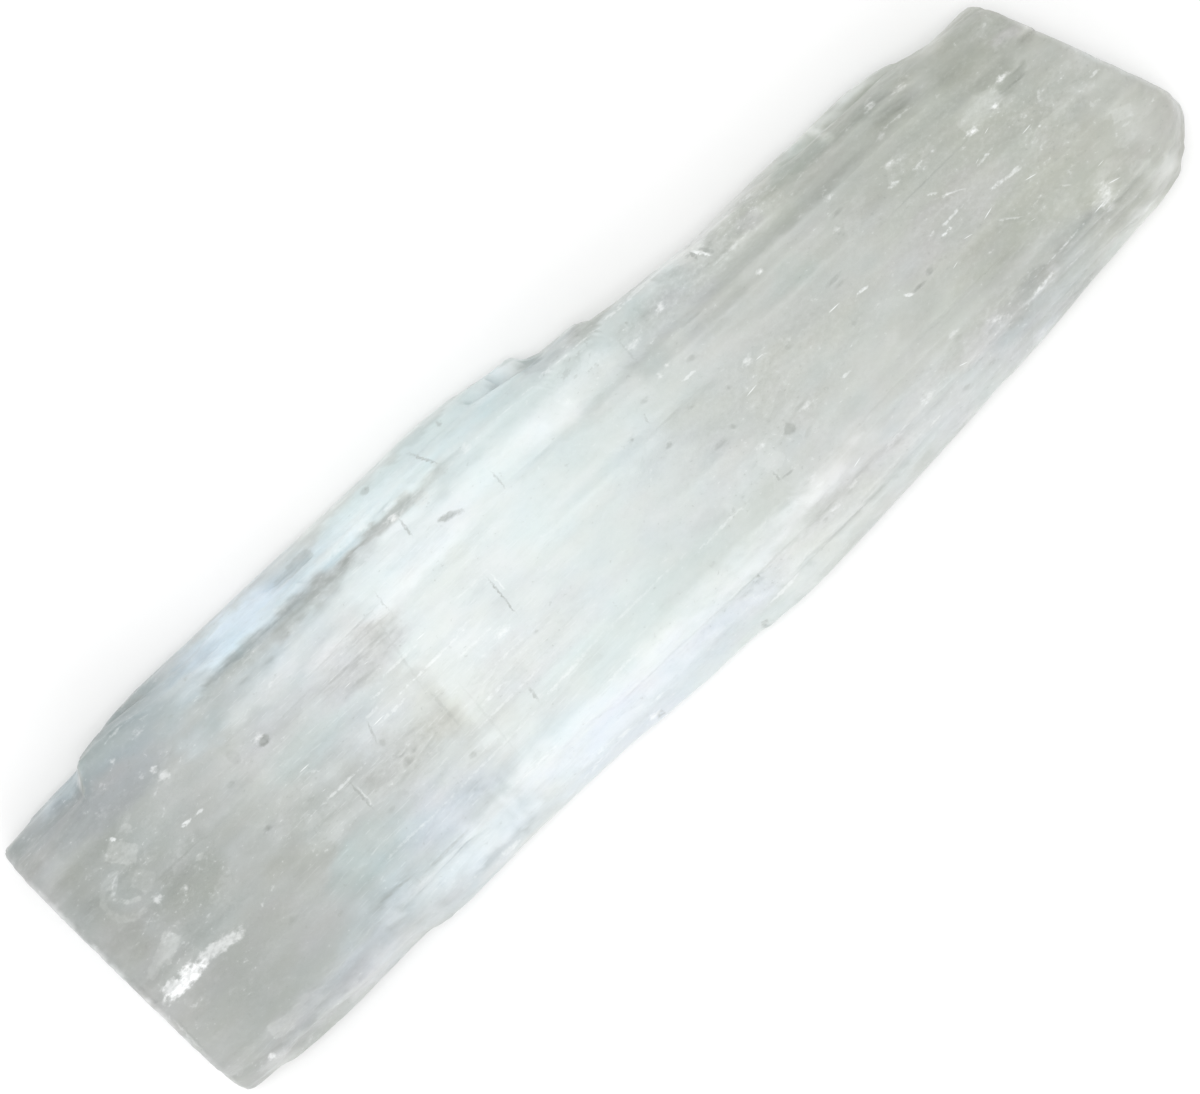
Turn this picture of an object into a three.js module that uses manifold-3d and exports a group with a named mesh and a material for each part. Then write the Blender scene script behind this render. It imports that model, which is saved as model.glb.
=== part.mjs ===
// A raw selenite charging plate: one long slab of satin spar, a fibrous gypsum.
//
// The fibres run along X. The slab was split out of its seam along them, so its faces are made of
// long narrow facets, with ledges where a bundle of fibres has come away and steps where it snapped
// off. Both ends are sawn across and their corners rubbed round. It lies on a flat underside.
//
// Millimetres, +Z up. The origin is under the middle of the slab, on the surface that it rests on.
import * as THREE from 'three';
import { ConvexGeometry } from 'three/addons/geometries/ConvexGeometry.js';
import { mergeVertices } from 'three/addons/utils/BufferGeometryUtils.js';
import Module from 'manifold-3d';

const wasm = await Module();
wasm.setup();

// ---- driving dimensions -------------------------------------------------------------------------
const LENGTH = 200; // along the fibres, from saw cut to saw cut
const THICKNESS = 18; // underside to the highest fibre

const RIM_ROUND = 2.2; // rounding of the sawn ends' rims, seen from the side
const STATION_STEP = 3.6; // spacing of the cross-sections
const FIBRE_RELIEF = 0.5; // how far a bundle stands above or below its neighbours

// The saw cuts: x = at + slope * y, leaning by lean over the full thickness.
const LEFT_CUT = { at: -98.95, slope: -0.036, lean: 0.6 };
const RIGHT_CUT = { at: 94.35, slope: -0.4, lean: -0.8 };
const SHEAR_FROM = 52; // from here towards each end the cross-sections turn to meet the saw cut

// The rounding of each corner, seen from above: [distance from the saw cut, how far the side is
// drawn in there].
const LEFT_CORNERS = {
  plusY: [[0, 0.7], [0.35, 0.3], [1, 0.1], [2.2, 0]],
  minusY: [[0, 0.9], [0.35, 0.4], [1, 0.1], [2.2, 0]],
};
const RIGHT_CORNERS = {
  plusY: [[0, 0.5], [0.35, 0.2], [1, 0.1], [2.2, 0]],
  minusY: [[0, 1.5], [0.35, 0.9], [1, 0.4], [2.2, 0.1], [4, 0]],
};
const END_STATIONS = [0, 0.35, 1, 2.2, 4, 6.2, 9]; // cross-sections that carry the rounding
const CORNER_CORE = 7; // the middle strip that no corner rounding draws in

// ---- the lengthwise edges -----------------------------------------------------------------------
// Each edge runs from end to end. plan holds [x, y] points and height holds [x, z] points, and the
// edge is straight between them. They stand in order round the slab: along the underside to +Y, up
// the +Y side, back over the top and down the -Y side. fibres is the number of fibre bundles between
// an edge and the next one, and relief is how much of FIBRE_RELIEF shows there.
const EDGES = [
  {
    name: 'foot on the -Y side',
    plan: [
      [-100, -22.4], [-88, -24.6], [-62, -24], [-54, -25.6], [-8, -26], [14, -27.2], [48, -25.2], [80, -21.8],
      [90, -20.6], [94, -18.8], [97, -16.4], [100, -12.6],
    ],
    height: [[-100, 0], [100, 0]],
    fibres: 1,
    relief: 0,
  },
  {
    name: 'foot on the +Y side',
    plan: [
      [-100, 22], [-84, 24], [-72, 26.6], [-12, 26.6], [3, 24.6], [16, 20.4], [44, 18.6], [70, 18.2],
      [82, 15.4], [100, 13.6],
    ],
    height: [[-100, 0], [100, 0]],
    fibres: 2,
    relief: 0.5,
  },
  {
    name: 'waist on the +Y side, the widest line there',
    plan: [
      [-100, 24.7], [-92, 25.5], [-83, 25.8], [-81, 27.1], [-77.5, 27.4], [-73, 28.5], [-44, 28.3], [-26, 28],
      [-15, 28.3], [-8, 27.8], [-3, 27.1], [3.4, 26.2], [4.8, 24.5], [7, 23.6], [13.4, 23.4], [15.4, 21.9],
      [20.7, 20.7], [34.6, 19.7], [42, 20.3], [66, 20.1], [71, 19.4], [78, 17.2], [81, 16.9], [86, 17.3],
      [88.6, 16.9], [100, 16],
    ],
    height: [
      [-100, 6], [-84, 5.4], [-80, 7.6], [-60, 5], [-10, 4.4], [20, 5.6], [42, 5], [74, 6], [100, 6],
    ],
    fibres: 3,
    relief: 0.8,
  },
  {
    name: 'outer edge of the shelf on the +Y side',
    plan: [
      [-100, 23.8], [-84.5, 24.6], [-81, 26.7], [-73, 27.6], [-44, 27.3], [-15, 27.2], [-3, 26.2],
      [3.4, 25.3], [4.8, 23.8], [7, 23], [13.4, 22.8], [15.4, 21.5], [20.7, 20.6], [34.6, 19.5], [42, 19.9],
      [66, 19.5], [78, 16.9], [86, 17], [100, 15],
    ],
    height: [
      [-100, 9.6], [-84, 9.2], [-80, 12.2], [-60, 9.8], [-10, 9.2], [6, 9.8], [20, 10.4], [42, 9], [74, 9.8],
      [100, 9.8],
    ],
    fibres: 3,
    relief: 1,
  },
  {
    name: 'inner edge of the shelf on the +Y side',
    plan: [
      [-100, 21.2], [-84.5, 22], [-82, 26.2], [-75, 26.5], [-68, 25], [-58, 24.2], [-50, 23.8], [-16, 23.4],
      [4, 22.7], [6, 22.2], [15, 21.2], [21, 20.3], [34, 19.1], [44, 18.9], [60, 18], [74, 17], [82, 15.8],
      [100, 14],
    ],
    height: [
      [-100, 12.8], [-85, 12.4], [-81, 15.8], [-74, 15], [-62, 13.9], [-10, 13.7], [6, 13.6], [22, 14],
      [46, 13], [72, 13.4], [100, 13],
    ],
    fibres: 2,
    relief: 0.8,
  },
  {
    name: 'brink of the top on the +Y side',
    plan: [
      [-100, 18.6], [-90, 19.8], [-84.5, 20.8], [-82, 25.9], [-75, 26.1], [-68, 23.7], [-58, 23], [-53, 22.4],
      [-24, 22.4], [-14, 21.4], [5, 20.8], [20, 20.2], [35, 18.7], [42, 18.6], [47, 16.9], [60, 16.3],
      [74, 15.6], [82, 14.6], [100, 12.6],
    ],
    height: [
      [-100, 15.6], [-84, 16], [-80, 16.4], [-50, 16.5], [-10, 16.6], [22, 16.4], [46, 16.2], [76, 15.9],
      [100, 15.2],
    ],
    fibres: 5,
    relief: 0.8,
  },
  {
    name: 'long step in the top towards +Y',
    plan: [[-100, 12.4], [-62, 13.6], [-10, 12.9], [40, 12.4], [74, 11.6], [100, 9.4]],
    height: [[-100, 16.5], [-60, 17.1], [-12, 17.5], [-8, 16.9], [30, 16.6], [72, 16.4], [100, 15.9]],
    fibres: 1,
    relief: 0,
  },
  {
    name: 'upper side of the long step',
    plan: [[-100, 11.6], [-62, 12.8], [-10, 12.3], [40, 11.6], [74, 10.8], [100, 8.6]],
    height: [[-100, 16.7], [-60, 17.3], [-12, 17.6], [-8, 17.6], [30, 17.3], [72, 17], [100, 16.2]],
    fibres: 9,
    relief: 1,
  },
  {
    name: 'middle of the top',
    plan: [[-100, -1], [-40, -1.4], [20, -1], [70, -2], [100, -3.6]],
    height: [[-100, 16.9], [-70, 17.4], [-30, 17.8], [0, 17.6], [44, 17.7], [80, 17.2], [100, 16.6]],
    fibres: 7,
    relief: 1,
  },
  {
    name: 'split along the top towards -Y',
    plan: [[-100, -15], [-60, -14.4], [-8, -12.8], [30, -12.2], [70, -12.6], [100, -11]],
    height: [[-100, 16.4], [-66, 16.9], [-20, 17.3], [20, 17.1], [66, 16.9], [100, 16.1]],
    fibres: 3,
    relief: 0.8,
  },
  {
    name: 'brink of the top on the -Y side',
    plan: [
      [-100, -19.6], [-88, -20.6], [-76, -19.6], [-68, -17.8], [-40, -17.6], [-16, -18.2], [4, -17.8],
      [28, -16], [60, -16.6], [80, -17.4], [92, -16.4], [97, -14], [100, -11.4],
    ],
    height: [
      [-100, 15.4], [-84, 15.2], [-68, 16], [-30, 16.3], [8, 16], [40, 15.8], [76, 15.3], [100, 15],
    ],
    fibres: 4,
    relief: 1,
  },
  {
    name: 'ledge part way down the -Y side',
    plan: [
      [-100, -22.2], [-90, -24.2], [-76, -24], [-66, -22.8], [-52, -23.8], [-20, -23.6], [4, -24],
      [16, -24.4], [50, -22.6], [80, -21], [90, -20.1], [94, -18.6], [97.5, -15.8], [100, -12.6],
    ],
    height: [
      [-100, 12], [-84, 10.4], [-66, 11.6], [-40, 10.8], [-6, 9.8], [14, 11], [56, 10.6], [84, 11.2],
      [100, 11.6],
    ],
    fibres: 4,
    relief: 1,
  },
  {
    name: 'waist on the -Y side, the widest line there',
    plan: [
      [-100, -25], [-96, -25.5], [-91.5, -25.6], [-88, -26.9], [-78, -26.9], [-63, -26.1], [-60.5, -26.8],
      [-57, -27.4], [-39, -26.8], [-23, -27], [-7, -28], [3, -27.8], [5.5, -28.8], [14, -28.9], [36, -27.5],
      [58, -26], [67, -24.8], [81, -23.3], [88.7, -22.6], [92.2, -22.1], [94, -20.5], [96.7, -18.4],
      [99.6, -15.3], [100.3, -12.8],
    ],
    height: [
      [-100, 6.6], [-84, 5.4], [-60, 6.4], [-30, 5], [4, 4.2], [16, 5.6], [60, 5], [100, 6.4],
    ],
    fibres: 2,
    relief: 0.5,
  },
];

const WAIST_PLUS = 2; // the edges that give the slab its outline
const WAIST_MINUS = EDGES.length - 1;

// Stations where a bundle ends, so that its step stays sharp.
const STEP_STATIONS = [-84.6, -83, -82, -81, 3.4, 4.8, 7, 13.4, 15.4];

// Scars where a splinter has come away: from and to along X, y across, width and depth, turn in
// degrees, and snap, the place along the scar where it is deepest. floor is the height that the
// scar's outline reaches down to, and the deepest point lies depth below it.
const SCARS = [
  { from: -66, to: -8, y: 21.5, width: 2, depth: 0.9, turn: -0.9, snap: 0.4, floor: 15.9 },
  { from: -44, to: -20, y: 22.3, width: 1.6, depth: 0.8, turn: 1.2, snap: 0.3, floor: 15 },
  { from: 62, to: 74, y: 13.7, width: 2.2, depth: 0.8, turn: -6, floor: 16.1 },
  { from: 22, to: 66, y: 13, width: 1.3, depth: 0.4, turn: -0.8, snap: 0.85, floor: 16.5 },
  { from: 81, to: 88.5, y: 5.2, width: 1.5, depth: 0.5, turn: -5, floor: 16.8 },
  { from: 26, to: 42, y: 18.6, width: 1.6, depth: 0.6, turn: -3, snap: 0.4, floor: 15.4 },
  { from: -60, to: 10, y: -13.7, width: 0.9, depth: 0.3, turn: 1.2, floor: 17 },
  { from: 56, to: 82, y: -17, width: 1.6, depth: 0.5, turn: -2.6, snap: 0.85, floor: 15.4 },
  { from: -71, to: -44, y: -21.6, width: 2.2, depth: 0.5, turn: 1.4, snap: 0.8, floor: 12.6 },
  { from: -13, to: 11, y: -22.6, width: 1.7, depth: 0.5, turn: -1.5, snap: 0.85, floor: 11.6 },
  { from: 8, to: 52, y: -25.2, width: 2.4, depth: 1.2, turn: 1.6, snap: 0.15, floor: 9.6 },
  { from: -50, to: -24, y: -25.6, width: 2, depth: 1, turn: 0.4, snap: 0.8, floor: 8.8 },
  { from: -92, to: -70, y: -25.4, width: 1.8, depth: 1, turn: -0.6, snap: 0.25, floor: 8.2 },
  { from: 60, to: 86, y: -22.8, width: 1.9, depth: 0.9, turn: 3.2, snap: 0.75, floor: 8.6 },
  { from: -50, to: -28, y: 26, width: 1.8, depth: 0.8, turn: -1, snap: 0.3, floor: 10.6 },
  { from: -6, to: 15, y: 24, width: 2.2, depth: 1, turn: -5, snap: 0.55, floor: 9.4 },
  { from: 44, to: 76, y: 18.8, width: 1.7, depth: 1, turn: -2.6, snap: 0.3, floor: 9.8 },
  { from: -78, to: -52, y: 27.1, width: 2, depth: 1.1, turn: -1, snap: 0.7, floor: 9.6 },
];

// ---- small helpers ------------------------------------------------------------------------------

/** Straight-line reading of a list of [x, value] points. */
function along(points, x) {
  if (x <= points[0][0]) return points[0][1];
  for (let i = 1; i < points.length; i += 1) {
    const [x1, v1] = points[i];
    if (x <= x1) {
      const [x0, v0] = points[i - 1];
      return THREE.MathUtils.mapLinear(x, x0, x1, v0, v1);
    }
  }
  return points[points.length - 1][1];
}

/** A repeatable number from -1 to 1 for a pair of whole numbers. */
function chance(i, j) {
  const s = Math.sin(i * 127.1 + j * 311.7) * 43758.5453;
  return 2 * (s - Math.floor(s)) - 1;
}

/** Smooth noise along a fibre bundle: its value every span millimetres is drawn by chance. */
function fibreNoise(bundle, x, span) {
  const cell = Math.floor(x / span);
  const t = THREE.MathUtils.smoothstep(x / span - cell, 0, 1);
  return THREE.MathUtils.lerp(chance(bundle, cell), chance(bundle, cell + 1), t);
}

// ---- the slab as one skin of cross-sections -------------------------------------------------------

/** Where the cross-sections stand: close together in the rounded ends, and at every step. */
function stations() {
  const ends = [...END_STATIONS.map((d) => LEFT_CUT.at + d), ...END_STATIONS.map((d) => RIGHT_CUT.at - d)];
  const fixed = [...ends, ...STEP_STATIONS].sort((a, b) => a - b);
  const list = [fixed[0]];
  for (let i = 1; i < fixed.length; i += 1) {
    const gap = fixed[i] - fixed[i - 1];
    const parts = Math.max(1, Math.round(gap / STATION_STEP));
    for (let k = 1; k <= parts; k += 1) list.push(fixed[i - 1] + (gap * k) / parts);
  }
  return list;
}

/** Where an edge passes through a cross-section, which may stand askew near a sawn end. */
function edgePoint(edge, x) {
  let point = [along(edge.plan, x), along(edge.height, x)];
  for (let pass = 0; pass < 8; pass += 1) {
    const there = shear(x, ...point);
    point = [(point[0] + along(edge.plan, there)) / 2, (point[1] + along(edge.height, there)) / 2];
  }
  return point;
}

/** The points of one cross-section, counted from the foot on the -Y side and seen from +X turning left. */
function section(x) {
  const corners = EDGES.map((edge) => edgePoint(edge, x));
  const ring = [];
  let bundle = 0;
  EDGES.forEach((edge, e) => {
    const [y0, z0] = corners[e];
    const [y1, z1] = corners[(e + 1) % corners.length];
    const run = Math.hypot(y1 - y0, z1 - z0);
    for (let k = 0; k < edge.fibres; k += 1) {
      const t = k / edge.fibres;
      bundle += 1;
      const slow = fibreNoise(bundle, x, 46);
      const quick = fibreNoise(bundle + 200, x, 13);
      const lift = k === 0 ? 0 : FIBRE_RELIEF * edge.relief * (0.75 * slow + 0.45 * quick);
      const out = [(z1 - z0) / run, (y0 - y1) / run];
      ring.push([y0 + (y1 - y0) * t + out[0] * lift, z0 + (z1 - z0) * t + out[1] * lift]);
    }
  });
  return ring;
}

/** Draws a cross-section's point inwards where it lies in the rounding of a sawn end. */
function roundEnd([y, z], x) {
  const left = x < 0;
  const gap = left ? x - LEFT_CUT.at : RIGHT_CUT.at - x;
  const rounding = left ? LEFT_CORNERS : RIGHT_CORNERS;
  const side = y > 0 ? rounding.plusY : rounding.minusY;
  const inset = along(side, gap);
  const reach = Math.abs(edgePoint(EDGES[y > 0 ? WAIST_PLUS : WAIST_MINUS], x)[0]);
  const kept = Math.min(CORNER_CORE, (reach - inset) / 2);
  const size = Math.abs(y);
  const drawn = size < kept ? size : kept + ((size - kept) * (reach - inset - kept)) / (reach - kept);
  const drop = gap < RIM_ROUND ? RIM_ROUND - Math.sqrt(RIM_ROUND ** 2 - (RIM_ROUND - gap) ** 2) : 0;
  const middle = THICKNESS / 2;
  return [Math.sign(y) * drawn, middle + (z - middle) * (1 - drop / middle)];
}

/** Moves a point along the fibres so that the last cross-section lies in the saw cut. */
function shear(x, y, z) {
  const cut = x < 0 ? LEFT_CUT : RIGHT_CUT;
  const share = THREE.MathUtils.smoothstep(Math.abs(x), SHEAR_FROM, Math.abs(cut.at));
  return x + share * (cut.slope * y + (cut.lean * z) / THICKNESS);
}

/** The skin of the whole slab, closed by a sawn face at each end. */
function slabSkin() {
  const places = stations();
  const position = [];
  const index = [];
  let count = 0;
  for (const x of places) {
    const ring = section(x).map((point) => roundEnd(point, x));
    count = ring.length;
    for (const [y, z] of ring) position.push(shear(x, y, z), y, z);
  }
  for (let s = 0; s + 1 < places.length; s += 1) {
    for (let k = 0; k < count; k += 1) {
      const a = s * count + k;
      const b = s * count + ((k + 1) % count);
      index.push(a, b, b + count, a, b + count, a + count);
    }
  }
  const last = (places.length - 1) * count;
  for (const [start, x, flip] of [[0, places[0], true], [last, places[places.length - 1], false]]) {
    const hub = position.length / 3;
    position.push(shear(x, 0, THICKNESS / 2), 0, THICKNESS / 2);
    for (let k = 0; k < count; k += 1) {
      const a = start + k;
      const b = start + ((k + 1) % count);
      index.push(...(flip ? [hub, b, a] : [hub, a, b]));
    }
  }
  const geometry = new THREE.BufferGeometry();
  geometry.setAttribute('position', new THREE.Float32BufferAttribute(position, 3));
  geometry.setIndex(index);
  return geometry;
}

// ---- scars ----------------------------------------------------------------------------------------

/** The splinter that left a scar: pointed along the fibres, deepest where it snapped off. */
function splinter({ from, to, y, width, depth, snap = 0.7, turn = 0, floor }) {
  const high = THICKNESS + 3;
  const middle = from + (to - from) * snap;
  const half = width / 2;
  const points = [
    [from, 0, floor], [from, 0, high], [to, 0, floor], [to, 0, high],
    [middle, -half, floor], [middle, half, floor], [middle, -half * 1.6, high], [middle, half * 1.6, high],
    [middle, half * 0.3, floor - depth],
  ].map(([px, py, pz]) => new THREE.Vector3(px - (from + to) / 2, py, pz));
  const geometry = new ConvexGeometry(points);
  geometry.rotateZ(THREE.MathUtils.degToRad(turn));
  geometry.translate((from + to) / 2, y, 0);
  return geometry;
}

/** A three.js geometry as a manifold-3d solid. */
function toSolid(geometry) {
  const clean = geometry.clone();
  clean.deleteAttribute('normal');
  clean.deleteAttribute('uv');
  const merged = mergeVertices(clean, 1e-5);
  return new wasm.Manifold(new wasm.Mesh({
    numProp: 3,
    vertProperties: Float32Array.from(merged.attributes.position.array),
    triVerts: Uint32Array.from(merged.index.array),
  }));
}

/** A manifold-3d solid as a three.js geometry. */
function toGeometry(solid) {
  const mesh = solid.getMesh();
  const geometry = new THREE.BufferGeometry();
  geometry.setAttribute('position', new THREE.Float32BufferAttribute(mesh.vertProperties, 3));
  geometry.setIndex(Array.from(mesh.triVerts));
  geometry.computeVertexNormals();
  return geometry;
}

let slab = toSolid(slabSkin());
for (const scar of SCARS) slab = slab.subtract(toSolid(splinter(scar)));

// Put the origin under the middle of the slab, and bring the slab to its length.
const geometry = toGeometry(slab);
geometry.computeBoundingBox();
const box = geometry.boundingBox;
const size = LENGTH / (box.max.x - box.min.x);
geometry.translate(-(box.min.x + box.max.x) / 2, -(box.min.y + box.max.y) / 2, -box.min.z);
geometry.scale(size, size, size);

const selenite = new THREE.MeshStandardMaterial({ color: 0xdde5e2, roughness: 0.38, metalness: 0 });
const plate = new THREE.Mesh(geometry, selenite);
plate.name = 'selenite_slab';

const part = new THREE.Group();
part.name = 'selenite_charging_plate';
part.add(plate);

export default part;
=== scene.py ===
"""Dresses a raw selenite charging plate, a slab of fibrous satin spar, for its portrait.

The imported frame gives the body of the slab, in metres, with its fibres along X and its flat underside
on the floor. The slab's skin is a fine mesh laid over that body, carved with the fibre bundles, the
splinters and the scars that satin spar shows, and finished as a milky, silky stone. The portrait is
taken from straight above, with the slab lying askew on a pale floor.
"""

from __future__ import annotations

import itertools
import logging
import math
from dataclasses import dataclass, field
from enum import Enum

import bmesh
import bpy
import numpy as np
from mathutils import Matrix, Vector
from mathutils.bvhtree import BVHTree

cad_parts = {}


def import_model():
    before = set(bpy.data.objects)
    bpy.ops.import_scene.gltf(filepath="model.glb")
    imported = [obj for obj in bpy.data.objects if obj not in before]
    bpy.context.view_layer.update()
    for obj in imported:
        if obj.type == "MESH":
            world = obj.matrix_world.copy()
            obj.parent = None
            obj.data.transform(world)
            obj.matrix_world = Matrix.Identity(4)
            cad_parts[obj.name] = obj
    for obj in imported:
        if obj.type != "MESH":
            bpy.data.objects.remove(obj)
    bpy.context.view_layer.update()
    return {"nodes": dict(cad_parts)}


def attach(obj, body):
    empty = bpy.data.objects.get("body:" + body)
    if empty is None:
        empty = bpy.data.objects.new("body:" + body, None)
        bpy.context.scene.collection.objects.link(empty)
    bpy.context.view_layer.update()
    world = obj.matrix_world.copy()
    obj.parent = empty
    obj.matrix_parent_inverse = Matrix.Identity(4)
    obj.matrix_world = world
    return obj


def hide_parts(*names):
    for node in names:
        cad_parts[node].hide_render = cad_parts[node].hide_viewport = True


LOG = logging.getLogger("charging_plate")

Triple = tuple[float, float, float]
Colour = tuple[float, float, float, float]
Row = tuple[float, ...]
Span = tuple[float, float]

MM = 0.001  # metres in a millimetre
MILK_TONE: Triple = (0.86, 0.88, 0.88)  # the stone's palest colour
SMOKE_TONE: Triple = (0.26, 0.28, 0.26)  # its darkest colour


# ---- noise ------------------------------------------------------------------------------------------

PRIMES = (73856093, 19349663, 83492791, 50331653)  # one for each number that names a cell
STIRS = ((13, 1274126177), (15, 2246822519))  # the shift and the factor of each stir of that number
LOW_32_BITS = 0xFFFFFFFF
LOW_24_BITS = 0xFFFFFF


def chance(*cells: np.ndarray | int) -> np.ndarray:
    """Draws a repeatable number for each lattice cell.

    Args:
        cells: whole numbers that name the cell, as arrays or single numbers.

    Returns:
        Numbers from 0 to 1, one for each cell.
    """
    drawn = np.int64(0)
    for cell, prime in zip(cells, PRIMES):
        drawn = drawn ^ (np.asarray(cell).astype(np.int64) * prime)
    for shift, factor in STIRS:
        drawn = (drawn ^ (drawn >> shift)) * factor & LOW_32_BITS
    return ((drawn ^ (drawn >> 16)) & LOW_24_BITS) / float(LOW_24_BITS)


def ease(value: np.ndarray, low: float, high: float) -> np.ndarray:
    """Rises smoothly from 0 to 1 between two values; it falls if low is above high."""
    share = np.clip((value - low) / (high - low), 0, 1)
    return share * share * (3 - 2 * share)


@dataclass(frozen=True)
class Grain:
    """Smooth noise with blotches of one size.

    Attributes:
        size: size of a blotch along X, Y and Z, in millimetres.
        seed: which noise it is.
        share: how strong it is.
    """

    size: Triple
    seed: int
    share: float = 1.0

    def read(self, points: np.ndarray) -> np.ndarray:
        """Reads the noise at points.

        Args:
            points: n by 3 places, in millimetres.

        Returns:
            Numbers from -share to share, one for each point.
        """
        scaled = points / np.array(self.size)
        low = np.floor(scaled)
        part = ease(scaled - low, 0, 1)
        total = np.zeros(len(points))
        for corner in itertools.product((0, 1), repeat=3):
            share = np.prod(np.where(np.array(corner) == 1, part, 1 - part), axis=1)
            cell = low + np.array(corner)
            total += share * chance(cell[:, 0], cell[:, 1], cell[:, 2], self.seed)
        return self.share * (2 * total - 1)

    def rise(self, points: np.ndarray) -> np.ndarray:
        """Reads the noise as numbers from 0 to twice its share."""
        return self.share + self.read(points)


Grains = tuple[Grain, ...]


def mixed(grains: Grains, points: np.ndarray) -> np.ndarray:
    """Adds up noises at n by 3 points."""
    return sum(grain.read(points) for grain in grains)


# ---- marks ------------------------------------------------------------------------------------------

ARC_LINE = 0.88  # where an arc's line runs, as a share of the way from the mark's middle to its edge
ARC_HALF = 0.11  # half the line's width, as such a share
ARC_END = 0.1  # how far past the middle its ends reach, as such a share
MARKED_FROM = 3.0  # marks lie in the surface above this height, in millimetres


class MarkKind(Enum):
    """What a single mark in the surface is."""

    # dark specks and small hollows; the dark colour in a hollow is painted shade
    SHADED_PIT = "a small hollow with a dark floor"
    CRACK = "a thin dark line"
    FLAKE = "a pale lifted scale"
    # crushed white patches; the two beside the pits at x -60.7 and x 82.2 are painted highlights on the
    # pits' rims
    FROST_AND_GLINT = "a crushed white patch"
    # painted highlight: a bright line of colour standing in for light glancing off a lifted fibre
    PAINTED_GLINT = "a bright line where a fibre has lifted"
    # painted highlight: a thin bright line of colour standing in for light glancing off a split across the
    # fibres
    SPLIT = "a thin bright line across the fibres"


LINES = (MarkKind.CRACK, MarkKind.SPLIT)  # too thin for the skin's mesh to hold
LINES_AT = 15  # height of the middle of the ovals that show them, in millimetres
LINES_WITHIN = 10  # how far those reach above and below it, in millimetres


class Outline(Enum):
    """The shape of a mark, seen from above."""

    OVAL = "oval"
    BOX = "box"
    ARC = "the left half of an oval's rim"


@dataclass(frozen=True)
class Mark:
    """One mark in the upper surface, in millimetres.

    Attributes:
        kind: what the mark is.
        x: place along the slab.
        y: place across the slab.
        length: size along the mark's own direction.
        width: size across it.
        turn: the direction of its length, in degrees from the fibres.
        strength: how plainly it shows, from 0 to 1.
        outline: its shape.
    """

    kind: MarkKind
    x: float
    y: float
    length: float
    width: float
    turn: float = 0.0
    strength: float = 1.0
    outline: Outline = Outline.OVAL

    def inside(self, places: np.ndarray) -> np.ndarray:
        """Gives how far places lie inside the mark's outline.

        Args:
            places: n by 3 places, in millimetres.

        Returns:
            Depths inside the outline, in millimetres; they are negative outside it.
        """
        angle = math.radians(self.turn)
        dx, dy = places[:, 0] - self.x, places[:, 1] - self.y
        lengthwise = np.abs(dx * math.cos(angle) + dy * math.sin(angle))
        crosswise = np.abs(dy * math.cos(angle) - dx * math.sin(angle))
        if self.outline is Outline.BOX:
            return np.minimum(self.length / 2 - lengthwise, self.width / 2 - crosswise)
        away = np.hypot(lengthwise / (self.length / 2), crosswise / (self.width / 2))
        half = min(self.length, self.width) / 2
        if self.outline is Outline.ARC:
            return np.minimum(ARC_HALF - np.abs(away - ARC_LINE), ARC_END - dx / half) * half
        return (1 - away) * half


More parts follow.
